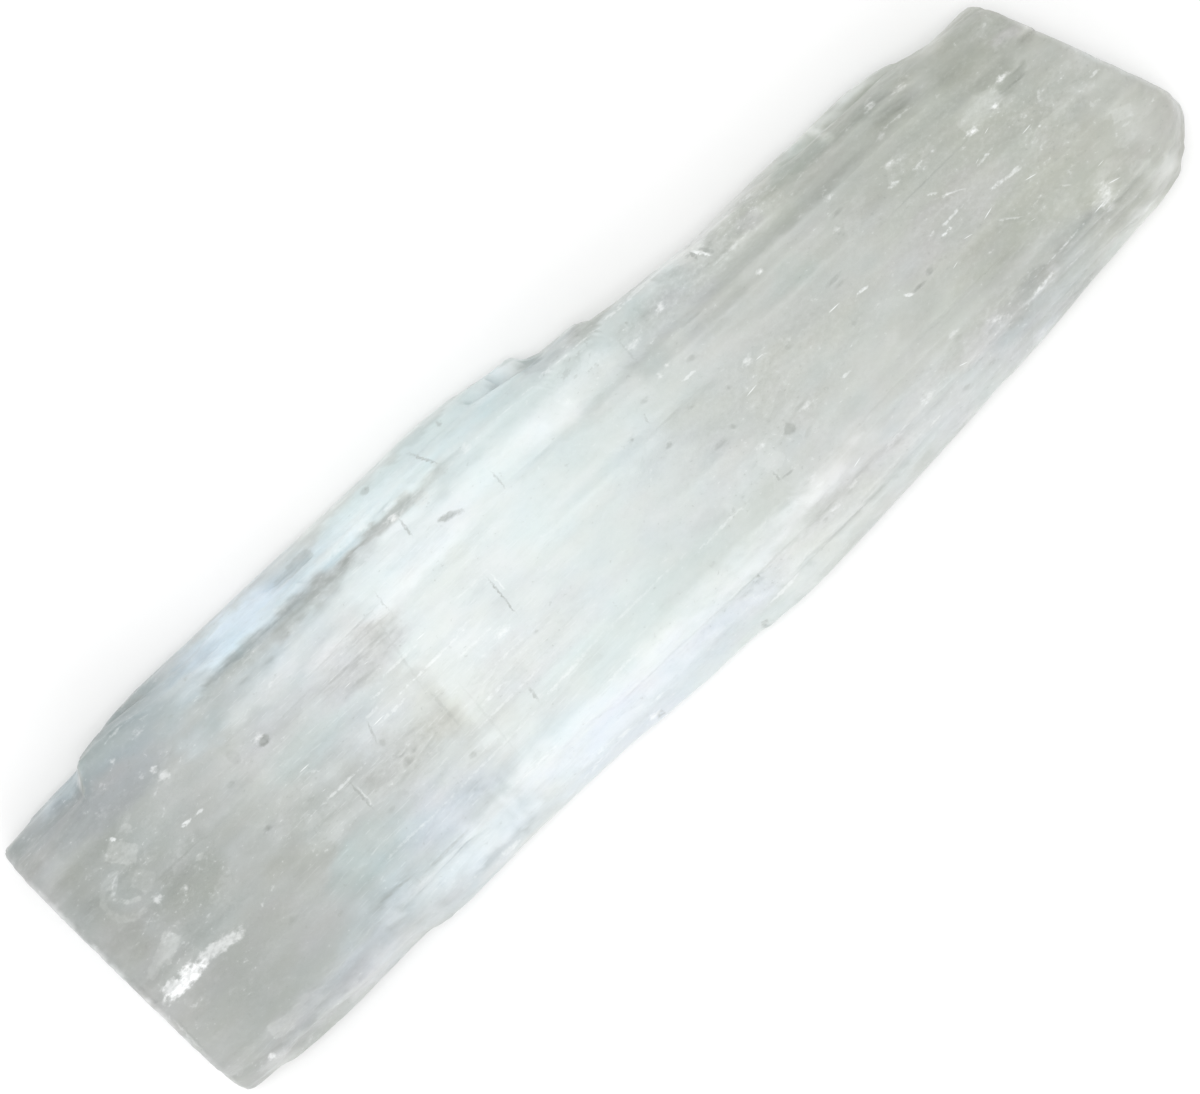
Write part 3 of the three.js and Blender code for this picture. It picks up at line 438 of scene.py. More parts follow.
# of each cloud its x, y, length, width and strength, then its core where it isn't the usual one
CLOUD_ROWS: dict[CloudKind, tuple[Row, ...]] = {
    # milky stone; long clouds on the -Y slope and on the +Y strip are painted light on those sides
    CloudKind.MILK_AND_LIGHT: (
        (-99, -4, 1.6, 42, 0.3, 0.7), (-91.5, -1.8, 7, 3.2, 0.14, 0.6), (-91, -25, 6, 3, 0.14),
        (-89, 25, 15, 3.6, 0.3), (-88, 25.6, 8, 2.4, 0.16), (-86, 25.2, 10, 3, 0.12),
        (-86, 25.4, 14, 2.4, 0.12), (-84.6, -21.6, 10, 3.4, 0.08, 0.6), (-80.5, -16.6, 10, 3, 0.07),
        (-80, -25.6, 30, 3.4, 0.2), (-75, -23, 18, 5, 0.1), (-72, -25, 20, 6, 0.12),
        (-70.5, 16.8, 10, 3, 0.1), (-67, 16.8, 5, 3, 0.08), (-66, -25.4, 5, 3, 0.1),
        (-66, -16.5, 6, 3, 0.08), (-63.6, -20.4, 5.4, 2.4, 0.2, 0.7), (-61, -10.6, 9, 3, 0.09),
        (-56, -10.6, 5, 3, 0.08), (-55, -22.6, 12, 6, 0.12), (-54, 15.6, 16, 3.4, 0.24),
        (-54, 24.4, 44, 8, 0.16), (-53, 25.4, 19, 5, 0.5, 0.75), (-48, 21.4, 6, 4, 0.12),
        (-46.5, -16.4, 6, 3, 0.1), (-45.5, 12, 7, 6, 0.09), (-45, 13.6, 10, 2.6, 0.12),
        (-43.5, 12.4, 6, 5, 0.07), (-43, 11.4, 12, 3, 0.08), (-43, 19.6, 5, 2.2, 0.1),
        (-42.5, 13.4, 6, 2.6, 0.12), (-42, 20, 8, 2.6, 0.07), (-28, 13.2, 20, 3.6, 0.34),
        (-27.5, 24.6, 17, 3.6, 0.2, 0.75), (-27, 1.6, 8, 8, 0.18), (-27, 17, 6, 3, 0.16),
        (-25, 24.2, 22, 3.4, 0.42), (-24, -21.4, 70, 6, 0.46), (-23, 19.4, 12, 1.6, 0.3),
        (-18, 22.4, 6, 2.6, 0.1), (-16, 22.6, 20, 2.6, 0.2), (-10, 14.8, 26, 7, 0.34, 0.6),
        (-1, 25.4, 10, 3, 0.2), (2, 4.6, 26, 6, 0.16), (2.4, 25.4, 5, 2.4, 0.14),
        (2.4, 25.6, 6, 2.6, 0.14), (4, 13.4, 11, 3, 0.18), (6, 16.4, 20, 5.4, 0.2, 0.7),
        (8, -18.6, 40, 4, 0.3), (10, -27.6, 12, 2, 0.12), (10, -1.6, 9, 3, 0.1),
        (10, 20.2, 14, 0.9, 0.3, 0.6), (11, 13.4, 9, 2.6, 0.12), (12, -27, 22, 2.6, 0.07),
        (12, 22.2, 6, 2.6, 0.1), (14, -27.4, 12, 2, 0.08), (22, -20, 14, 3, 0.07),
        (23, -18.4, 12, 4.6, 0.14), (24, -17.6, 18, 2.6, 0.14), (25, -14, 12, 6, 0.07),
        (30, -24, 62, 6, 0.3), (33, -16.6, 8, 3, 0.1), (33, 16.6, 38, 6, 0.07), (35, 19.8, 18, 2.8, 0.24),
        (35, 19.8, 30, 2.2, 0.07), (36, 19.8, 34, 2.4, 0.1), (37, -2.6, 14, 5, 0.09),
        (37.5, 15.3, 8, 0.6, 0.25), (48, -20, 52, 6, 0.12), (52, -18, 18, 6, 0.14), (55, -19.6, 9, 3, 0.1),
        (57, 20.2, 14, 1.8, 0.08), (58.4, 18.2, 1.7, 3.4, 0.4, 0.6), (60, 19.6, 20, 2.8, 0.16),
        (61, 19.2, 16, 2.4, 0.14), (62, -25, 5, 2.6, 0.08), (62, -3.6, 24, 6, 0.08),
        (64, -24.6, 6, 3, 0.12), (66, -19.4, 7, 0.8, 0.3, 0.6), (67, -14.6, 10, 1.2, 0.16),
        (67, 19.8, 6, 1.6, 0.22), (73, -10.6, 8, 3, 0.09), (76, -4.5, 44, 9, 0.1),
        (77, 5.2, 9, 3.4, 0.22, 0.7), (78, 16.6, 6, 2.6, 0.08), (79, 16.8, 6, 3, 0.2),
        (80, -13.4, 9, 3.4, 0.18), (81, -22.8, 10, 3, 0.16), (81, -2.6, 9, 5, 0.08),
        (82, -16.2, 4.4, 2.4, 0.3), (82, 10.4, 9, 3, 0.09), (83.5, 10.6, 7, 3, 0.07),
        (84, -22.4, 8, 3, 0.12), (84, -14, 8, 4, 0.12), (84, -13.6, 6, 3, 0.1), (84.5, -22.6, 7, 3, 0.1),
        (87, -23, 7, 2.4, 0.12), (87, -19.4, 10, 6, 0.06), (87, -1.6, 4, 3, 0.06), (87, 10.3, 4, 1.6, 0.2),
        (89, -21.5, 8, 5, 0.14), (90, -19.4, 8, 4, 0.12), (90.5, 10.4, 8, 3.4, 0.1),
        (92, -19.6, 5, 4, 0.12), (92, -11, 7, 8, 0.07), (92, -0.6, 6, 8, 0.08), (93, -19.4, 4, 4, 0.16),
        (94, 0.6, 4, 6, 0.09),
    ),
    # cool stone; those on the +Y shelf and the -Y slope are a painted reflection of the window
    CloudKind.SKY_AND_REFLECTION: (
        (-94, 22.4, 8, 3, 0.15), (-89, 25, 15, 3.6, 0.2), (-66, 16.6, 9, 4, 0.35),
        (-66, 25.6, 10, 3, 0.15), (-64, -15, 12, 13, 0.22), (-60, 25, 60, 8, 0.4), (-57, -9, 16, 5, 0.1),
        (-54, 25.4, 22, 5.4, 0.4, 0.7), (-50, 2, 14, 5, 0.18), (-46, -23, 22, 6, 0.2),
        (-46, -20.5, 56, 13, 0.35), (-30, 20, 136, 10, 0.17), (-18, 25, 44, 6, 0.3),
        (-16, 13.5, 40, 4, 0.16), (-3, 7, 28, 12, 0.13), (24, 16.8, 20, 6, 0.2), (26.5, 16.4, 27, 7, 0.17),
        (31, 17.5, 12, 3, 0.1), (33, -10.5, 28, 10, 0.12),
    ),
    # painted shade, dark and cool, on the side towards +Y that faces away from the window
    CloudKind.COOL_SHADE: (
        (-90.5, 23.6, 17, 4.4, 0.26, 0.7), (-77, 25.4, 24, 6, 0.28), (-74, 27.4, 14, 2.6, 0.3),
        (-41, 25.8, 8.6, 1.9, 0.2, 0.8), (-38, 25.9, 2.4, 2.2, 0.12, 0.85), (5.6, 24.2, 4, 2.6, 0.5),
    ),
    CloudKind.SMOKE: (
        (-98.4, 20.6, 4, 6, 0.1), (-98, 21.4, 4, 5, 0.07), (-98, 21.4, 4, 8, 0.12),
        (-97, 21.6, 4, 5, 0.18), (-96.4, 10.6, 6, 4, 0.1), (-95.5, 4, 9, 22, 0.26), (-93, 0.4, 5, 5, 0.07),
        (-93, 10.5, 6, 4, 0.07), (-93, 10.6, 4, 3, 0.08), (-90, 8.4, 14, 5, 0.22), (-84, 20, 22, 6, 0.2),
        (-76.8, 7, 3, 2, 0.3), (-76, -22.6, 15, 3, 0.14), (-76, 4.6, 18, 4.6, 0.2),
        (-71.5, 0.6, 6, 4, 0.18), (-70, 22.6, 10, 3, 0.12), (-68, 22.6, 6, 3, 0.1),
        (-67, -5.4, 10, 6, 0.16), (-67, 4.6, 7, 8, 0.08), (-62, -20.8, 2.2, 2.4, 0.2, 0.6),
        (-61.6, -18.5, 8, 0.9, 0.34, 0.6), (-61, -2.8, 16, 6, 0.22), (-61, 10.8, 5, 3.4, 0.14),
        (-61, 25.6, 8, 3, 0.14), (-60.5, -4.4, 5, 3, 0.12), (-60, 25.6, 8, 2.6, 0.12),
        (-58, 25.6, 5, 3, 0.08), (-57.5, 25.6, 5, 3, 0.12), (-53, -0.8, 6, 6, 0.2),
        (-52, -19.4, 8, 0.7, 0.25, 0.6), (-51, -4.6, 5, 3, 0.08), (-48, 21, 32, 2.6, 0.15, 0.8),
        (-47, -16.2, 14, 5, 0.09), (-46, -24.8, 13, 0.8, 0.22), (-46, 22, 24, 1, 0.06, 0.8),
        (-45, 21.2, 34, 3.2, 0.07, 0.85), (-43.6, 6.9, 5.4, 1.2, 0.1), (-43, 9.3, 15, 0.6, 0.2, 0.6),
        (-42.5, -1.4, 6, 3, 0.08), (-42.3, -20, 1.5, 11, 0.2, 0.6), (-41, 20, 16, 3, 0.26, 0.6),
        (-39.8, -20.4, 1.2, 9, 0.2, 0.6), (-39, 13.1, 9, 0.6, 0.2, 0.6), (-38.4, -4.6, 4, 3, 0.05),
        (-38.4, -3.2, 4, 6, 0.07), (-38.4, 4.6, 4, 3, 0.06), (-38.2, 4, 0.8, 14, 0.08),
        (-38, -4.9, 0.9, 5.6, 0.09, 0.5), (-37, 17.6, 8, 3, 0.1), (-36.5, 8.6, 5, 8, 0.1),
        (-35.6, 4, 1, 18, 0.08), (-32, 19.6, 7, 2.2, 0.12), (-32, 19.8, 8, 2.4, 0.18),
        (-31, -16.5, 12, 3, 0.1), (-28, 21.2, 16, 1.3, 0.16, 0.7), (-23, 25.4, 6, 2.6, 0.1),
        (-22, 27.7, 46, 1.3, 0.3), (-18, 25.2, 4, 2.6, 0.16), (-5, -19.4, 14, 3, 0.1),
        (-4, -19.6, 26, 5, 0.05), (-4, -11.5, 24, 12, 0.06), (-3, -17, 22, 4, 0.06),
        (-1, -19.4, 14, 3, 0.08), (4.8, -22.4, 11, 3, 0.16), (8, -10.6, 6, 3, 0.12),
        (8, 12.6, 26, 1, 0.14), (8.6, 22.4, 10, 2.8, 0.26, 0.85), (9, -22.4, 7, 3, 0.1),
        (9.5, 19.6, 9, 2.4, 0.1), (12, 19.6, 5, 2.4, 0.09), (14, -21.5, 26, 0.5, 0.16, 0.6),
        (17, 3, 12, 1.4, 0.12, 0.6), (17.5, 10.2, 7, 4.6, 0.14, 0.6), (19, 12, 8, 6, 0.1),
        (21, -25, 30, 0.45, 0.22, 0.6), (40, 16.8, 9, 2.4, 0.24), (43, -22.6, 9, 3, 0.07),
        (50, -10.6, 8, 3, 0.12), (52.5, -8, 5, 8, 0.06), (57, -16.6, 10, 3, 0.07),
        (60, 16.4, 20, 2.4, 0.14), (61, 13, 24, 4, 0.14), (62, 9, 26, 6, 0.2), (64, -13.8, 9, 3, 0.12),
        (66, 16.4, 8, 2.4, 0.12), (69, -18, 7, 5, 0.07), (71, 13.4, 10, 3, 0.14),
        (71.5, -17.3, 17, 1.2, 0.36, 0.6), (74, 7.4, 6, 3, 0.12), (75, -16.6, 8, 2, 0.14),
        (78, -1.8, 4, 3, 0.04), (82, -19.4, 5, 3, 0.08), (82, -19, 5, 2.4, 0.09),
        (83, -17.8, 9, 0.9, 0.25, 0.6), (85, -19.4, 8, 3, 0.08), (87, -19.6, 5, 3, 0.12),
        (87, -4.6, 5, 3, 0.18), (88, -6, 5, 6, 0.09), (92.5, -4.4, 5, 6, 0.1),
    ),
    CloudKind.MOSS: (
        (-91, 14.2, 12, 6, 0.3), (-86, -12, 22, 8, 0.2), (-82, 2.6, 12, 7, 0.34),
        (15.6, 21.9, 9, 3, 0.42, 0.7), (30, 10.6, 16, 4.4, 0.2), (46, 18.2, 24, 3.4, 0.2),
        (50, 13.2, 38, 3, 0.26), (62, 17, 32, 4.6, 0.26), (66, -10.8, 16, 4.6, 0.22),
        (68, 14.1, 9, 2.6, 0.26), (83, 12.4, 15, 8.6, 0.36), (83.3, 5.2, 6, 1.5, 0.3, 0.8),
        (83.5, 8, 14, 2.4, 0.3),
    ),
    CloudKind.CRUST: (
        (-84, 4, 18, 18, 0.18), (-48, 20.8, 32, 3.4, 0.5, 0.7), (-47, -5.2, 13, 8, 0.36),
        (-42, 9.6, 18, 7, 0.26, 0.7), (-24, 21.3, 20, 1.6, 0.5, 0.7), (27, 16.4, 24, 5, 0.5),
        (30, -22.4, 44, 4, 0.22), (30, -3, 34, 14, 0.26), (33, 16.6, 38, 6, 0.2),
        (58, -18.6, 26, 4.6, 0.4), (72, -1, 38, 24, 0.3), (84, -14, 12, 5, 0.3),
    ),
    CloudKind.EARTH: (
        (-94.2, 3.6, 7, 8, 0.25), (-71, -7, 16, 8, 0.2), (-55, 10.6, 12, 4, 0.1), (-49, -5.2, 12, 8, 0.12),
        (-42, 9.6, 18, 7, 0.16, 0.7), (-38.8, -5, 4.2, 5.6, 0.06, 0.7), (-27, -7.5, 30, 9, 0.18),
        (-20, -7, 24, 8, 0.06), (40, -1, 22, 8, 0.1),
    ),
    CloudKind.STAIN: (
        (-39.2, -5, 7.4, 9.4, 0.085, 0.8),
    ),
    CloudKind.MAUVE: (
        (-83, 20.5, 24, 8, 1), (-78, -22.5, 26, 6, 0.8), (-56, 10.8, 13, 5, 0.4), (-53, 25.4, 22, 5, 0.6),
        (-47, -15, 16, 8, 0.9), (-47, -5.2, 12, 8, 0.35), (-42, 9.6, 20, 8, 0.5, 0.7),
        (-20, -7, 26, 10, 0.5), (-14, -24, 44, 8, 1.2), (8.6, 22.3, 11, 3.2, 0.5, 0.8),
        (9, -4, 18, 18, 0.5), (18, 13.6, 12, 3, 0.3), (25.5, 16, 5, 2.6, 0.5), (30.5, 13.6, 6, 2.2, 0.4),
        (42, 16.4, 4, 2.4, 0.6), (46, -22, 50, 8, 0.4), (62, -3, 24, 8, 0.8), (66, -19.4, 26, 12, 0.8),
        (87, 10.2, 5, 2, 1),
    ),
    CloudKind.TEAL: (
        (-64, -13, 8, 10, 0.3), (-59, -12, 16, 8, 0.9), (-56, 5.2, 13, 6, 0.9), (-18, 24.8, 44, 6, 0.6),
        (-8, -13, 26, 9, 0.3), (20.5, 17.4, 4, 3, 0.4), (34.5, 15.4, 5, 2, 0.3), (41, 6.4, 8, 3.4, 0.6),
        (47, 13.4, 6, 2, 0.3), (53, 18.2, 10, 3.4, 1),
    ),
}
CLOUDS = tuple(Cloud(*row, kind=kind) for kind, rows in CLOUD_ROWS.items() for row in rows)


# ---- the fibres -------------------------------------------------------------------------------------

FAN = 0.052  # how far the fibres nearest -Y lean across the slab, for each millimetre along it
FAN_SPAN: Span = (24, -26)  # where across the slab they start to lean, and where they lean that far


def along_fibres(points: np.ndarray) -> np.ndarray:
    """Straightens the fibres, which fan out slightly towards -Y.

    Args:
        points: n by 3 places, in millimetres.

    Returns:
        The same places with every fibre laid parallel to X.
    """
    straight = points.copy()
    straight[:, 1] -= FAN * ease(points[:, 1], *FAN_SPAN) * points[:, 0]
    return straight


@dataclass(frozen=True)
class Bundles:
    """Fibre bundles of one thickness, each snapped off here and there.

    Attributes:
        width: thickness of a bundle, in millimetres.
        run: usual length of a bundle before it snaps, in millimetres.
        step: how far the deepest bundle lies below the highest, in millimetres.
        groove: depth of the groove between two bundles, in millimetres.
        left: how much of their relief is left on the worn top, from 0 to 1.
        seed: which bundles these are.
        stray: how far a bundle's middle may stray, in thicknesses.
        lip: how far a groove reaches into a bundle, in thicknesses.
        slide: how far a bundle's snaps may be slid along it, in runs.
        apart: what keeps the draws for one thickness apart from another's.
    """

    width: float
    run: float
    step: float
    groove: float
    left: float
    seed: int
    stray: float = 0.8
    lip: float = 0.3
    slide: float = 9
    apart: int = 57

    def depth(self, points: np.ndarray) -> np.ndarray:
        """Gives how far the surface lies below the highest bundle.

        Args:
            points: n by 3 straightened places, in millimetres.

        Returns:
            Depths in millimetres, never below 0.
        """
        across = points[:, 1:] / self.width
        base = np.floor(across)
        nearest = np.full(len(points), 9.0)
        second = nearest.copy()
        owner = np.zeros((len(points), 2))
        for move in itertools.product((-1, 0, 1), repeat=2):
            cell = base + np.array(move)
            spread = [chance(cell[:, 0], cell[:, 1], self.seed, axis) - 0.5 for axis in (1, 2)]
            centre = cell + 0.5 + self.stray * np.stack(spread, axis=1)
            away = np.linalg.norm(across - centre, axis=1)
            closer = away < nearest
            second = np.where(closer, nearest, np.minimum(second, away))
            owner = np.where(closer[:, None], cell, owner)
            nearest = np.minimum(nearest, away)
        start = self.slide * chance(owner[:, 0], owner[:, 1], self.seed, 3)
        place = points[:, 0] / self.run + start
        piece = np.floor(place)
        other = owner[:, 1] + self.apart * self.seed
        lows = [chance(owner[:, 0], other, piece, end) for end in (4, 5)]
        level = lows[0] + (lows[1] - lows[0]) * (place - piece)
        return self.step * level**2 + self.groove * ease(second - nearest, self.lip, 0)


# ---- the stone --------------------------------------------------------------------------------------

SAWN: Span = (0.5, 0.85)  # how squarely a surface faces along X where it starts to be a saw cut, and is one


@dataclass(frozen=True)
class StoneMap:
    """What the stone is like: milky and partly painted sheen in the middle, clearer and greyer at its ends.

    Attributes:
        zones: the stone's colour by place along it, in millimetres; its pale middle is partly painted
            sheen.
        cool: tint of its coolest places.
        warm: tint of its warmest places.
        rose: tint of its rosiest places.
        leaf: tint of its greenest places.
        clouds: the clouds in it, some on its long sides painted light, reflection and shade.
        rungs: where faint bands cross the fibres.
        needle_glints: where the painted splinter glints lie thickest.
        marks: the marks in its surface.
        mottle: small blotches, milkier or smokier.
        mottled: how milky or smoky they are.
        wander: how far mottle and strands move the edges of the zones, in millimetres.
        patches: wide blotches, milkier or smokier.
        strands: streaks along the fibres.
        stranded: how milky or smoky they are.
        ladder: the bands that cross the fibres at the rungs.
        bands: streaks down the long sides.
        strokes: what the saw left on the end faces.
        frosted: how milky the saw left them.
        chills: cooler and warmer blotches.
        roses: rosier and greener blotches.
        fray: what frays the clouds' edges.
        strays: how far the clouds' edges stray along and across the slab, in millimetres.
        clusters: where chips and splinters gather.
    """

    # the pale middle, about x -35 to 8, is partly milky stone and partly painted satin sheen
    zones: tuple[tuple[float, Triple], ...] = (
        (-100, (0.43, 0.44, 0.43)),
        (-86, (0.365, 0.385, 0.37)),
        (-72, (0.415, 0.435, 0.425)),
        (-64, (0.46, 0.485, 0.475)),
        (-50, (0.56, 0.595, 0.60)),
        (-37.5, (0.60, 0.63, 0.62)),
        (-34.5, (0.67, 0.71, 0.70)),
        (-10, (0.66, 0.71, 0.70)),
        (8, (0.59, 0.63, 0.61)),
        (26, (0.52, 0.54, 0.52)),
        (52, (0.47, 0.49, 0.46)),
        (78, (0.43, 0.45, 0.41)),
        (100, (0.45, 0.46, 0.43)),
    )
    cool: Triple = (0.84, 0.95, 1.02)
    warm: Triple = (1.0, 0.965, 0.87)
    rose: Triple = (1.01, 0.98, 1.01)
    leaf: Triple = (0.975, 1.0, 0.98)
    clouds: tuple[Cloud, ...] = CLOUDS
    rungs: tuple[Oval, ...] = (Oval(-50, -20, 44, 15), Oval(-38.5, 3, 8, 46, 0.8))
    needle_glints: tuple[Oval, ...] = (
        Oval(66, -3, 34, 20),
        Oval(40, -8, 60, 26, 0.35),
        Oval(-45, 3, 44, 22, 0.4),
        Oval(78, 4, 16, 8, 0.8),
        Oval(84, -14, 16, 8, 0.9),
        Oval(28, -16, 50, 10, 0.5),
    )
    marks: tuple[Mark, ...] = MARKS
    mottle: Grains = (Grain((8, 4.4, 4.4), 61, 0.6), Grain((3.4, 1.9, 1.9), 62, 0.4))
    mottled: float = 0.13
    wander: Span = (3, 2)
    patches: Grain = Grain((18, 9, 9), 81, 0.06)
    strands: Grains = (Grain((8, 0.9, 0.9), 71, 0.5), Grain((3, 0.5, 0.5), 72, 0.5))
    stranded: float = 0.06
    ladder: Grain = Grain((1.7, 9, 9), 91, 0.12)
    bands: Grains = (Grain((34, 3.4, 2.2), 75, 0.18), Grain((14, 1.4, 0.9), 76, 0.12))
    strokes: Grains = (Grain((60, 11, 1.1), 87, 0.09), Grain((60, 2.2, 1.4), 89, 0.054))
    frosted: float = 0.25
    chills: Grains = (Grain((22, 11, 11), 83, 0.2), Grain((3.6, 2.2, 2.2), 84, 0.15))
    roses: Grains = (Grain((9, 5, 5), 85, 0.4), Grain((2.8, 1.9, 1.9), 86, 0.28))
    fray: Grains = (Grain((7, 3, 3), 41, 0.6), Grain((2.4, 1.3, 1.3), 42, 0.4))
    strays: tuple[Grains, Grains] = (
        (Grain((2.4, 1.7, 1.7), 43, 0.8), Grain((1.2, 0.8, 0.8), 44, 0.45)),
        (Grain((2.4, 1.7, 1.7), 47, 0.8), Grain((1.2, 0.8, 0.8), 48, 0.45)),
    )
    clusters: Grain = Grain((9, 6, 6), 59)

    def read(self, places: np.ndarray, normals: np.ndarray) -> dict[str, np.ndarray]:
        """Reads the stone at places on its surface.

        Args:
            places: n by 3 places, in millimetres.
            normals: the surface's outward directions there.

        Returns:
            stone, its colour; silk, how plainly the fibres show; crumble, how crumbly it is; flaws and
            needle_glints, how thick chips and painted splinter glints lie; sawn, how far the surface is a
            saw cut; and for each kind of mark, how far inside its outline a place is and how plainly it
            shows.
        """
        x, y = places[:, 0], places[:, 1]
        sawn = ease(np.abs(normals[:, 0]), *SAWN)
        clear = 1 - sawn
        steep = clear * ease(normals[:, 2], 0.2, -0.1)
        clusters = ease(self.clusters.read(places), -0.35, 0.5)
        # the fibres show in the milky middle and on the sides, but not at the end cut askew
        middle = ease(x, -76, -58) * ease(x, 2, -22)
        sides = ease(normals[:, 2], 0.9, 0.6) * ease(x, 97, 83)
        silk = clear * np.maximum(0.2 + 0.8 * middle, 0.7 * sides)
        # chips lie in the clear ends and along the ledge between the scar and the end cut askew
        ledge = ease(y, 11.5, 14.5) * ease(np.abs(x - 34), 28, 18)
        flaws = 0.15 + 0.65 * ease(x, -8, 14) + 0.5 * ease(x, -46, -66) + 0.5 * ledge
        # where the painted splinter glints lie thickest
        needle_glints = np.max([oval.share(places) for oval in self.needle_glints], axis=0)
        colour, crumble = self._colour(places, silk, sawn, steep)
        fields = {
            "stone": np.column_stack((colour, np.ones(len(places)))),
            "silk": silk,
            "crumble": crumble * clear + 0.5 * sawn,
            "flaws": flaws * clusters * clear,
            "needle_glints": needle_glints * (0.35 + 0.65 * clusters) * clear,
            "sawn": sawn,
        }
        for kind in MarkKind:
            if kind not in LINES:
                fields[kind.name.lower()] = self._outlines(places, 1 - steep, kind)
        return fields

    def _colour(
        self, places: np.ndarray, silk: np.ndarray, sawn: np.ndarray, steep: np.ndarray
    ) -> tuple[np.ndarray, np.ndarray]:
        """Mixes the stone's colour.

        Args:
            places: n by 3 places, in millimetres.
            silk: how plainly the fibres show there.
            sawn: how far the surface is a saw cut there.
            steep: how far it is the side of the slab there.

        Returns:
            n by 3 colours, and how crumbly the stone is at each place.
        """
        straight = along_fibres(places)
        mottle = mixed(self.mottle, places)
        strands = mixed(self.strands, straight) * silk
        fray = mixed(self.fray, places)
        strayed = places.copy()
        for axis, grains in enumerate(self.strays):
            strayed[:, axis] += mixed(grains, places)
        clouds = sum(cloud.shares(strayed, fray) for cloud in self.clouds)
        # the clouds include painted light, reflection and shade on the long sides
        milk_and_light, chill, rose, crumble = (1 - 0.7 * steep) * clouds

        rungs = np.max([oval.share(places) for oval in self.rungs], axis=0)
        milk_and_light = milk_and_light + self.mottled * mottle + self.stranded * strands + self.patches.read(places)
        milk_and_light = milk_and_light + self.ladder.read(places) * rungs + mixed(self.bands, straight) * steep
        milk_and_light = milk_and_light + (self.frosted + mixed(self.strokes, places)) * sawn
        chill = chill * (1 - sawn) + mixed(self.chills, places)
        rose = rose * (1 - sawn) + mixed(self.roses, places)

        along = places[:, 0] + self.wander[0] * mottle + self.wander[1] * strands
        stops, tones = zip(*self.zones)
        colour = np.stack([np.interp(along, stops, channel) for channel in zip(*tones)], axis=1)
        for share, tone in ((milk_and_light, MILK_TONE), (-milk_and_light, SMOKE_TONE)):
            colour += (np.array(tone) - colour) * np.clip(share, 0, 1)[:, None]
        tints = ((chill, self.cool), (-chill, self.warm), (rose, self.rose), (-rose, self.leaf))
        for share, tint in tints:
            colour *= 1 + (np.array(tint) - 1) * np.clip(share, 0, None)[:, None]
        return colour, crumble

    def _outlines(
        self, places: np.ndarray, plain: np.ndarray, kind: MarkKind, far: float = -2
    ) -> np.ndarray:
        """Finds the nearest outline of one kind of mark.

        Args:
            places: n by 3 places, in millimetres.
            plain: how plainly marks show there, from 0 to 1.
            kind: which marks to look at.
            far: how far inside an outline a place is at least said to be, in millimetres.

        Returns:
            n by 3 numbers: how far inside the outline a place is, in millimetres, how plainly that mark
            shows, and 0.
        """
        marks = [mark for mark in self.marks if mark.kind is kind]
        inside = np.stack([mark.inside(places) for mark in marks])
        nearest = np.argmax(inside, axis=0)
        deepest = np.where(places[:, 2] > MARKED_FROM, np.max(inside, axis=0), far)
        strength = np.array([mark.strength for mark in marks])[nearest]
        return np.column_stack((np.clip(deepest, far, None), strength * plain, np.zeros(len(places))))


# ---- the slab ---------------------------------------------------------------------------------------


@dataclass
class SawCut:
    """A sawn end, as a plane x = at + slope * y near the middle of the slab.

    Attributes:
        at: where it crosses the middle of the slab, in metres.
        slope: how far it leans along X for each metre across.
    """

    at: float
    slope: float

    @classmethod
    def find(cls, body: BVHTree, side: int, level: float, reach: float = 8 * MM) -> SawCut:
        """Finds a sawn end by looking along the fibres from the middle of the body.

        Args:
            body: the solid's surface, in metres.
            side: 1 for the end at +X, -1 for the end at -X.
            level: the height to look at, in metres.
            reach: how far to each side of the middle to look, in metres.

        Returns:
            The saw cut.
        """
        aim = Vector((side, 0, 0))
        hits = [body.ray_cast(Vector((0, y, level)), aim)[0].x for y in (reach, -reach)]
        return cls(at=sum(hits) / 2, slope=(hits[0] - hits[1]) / (2 * reach))


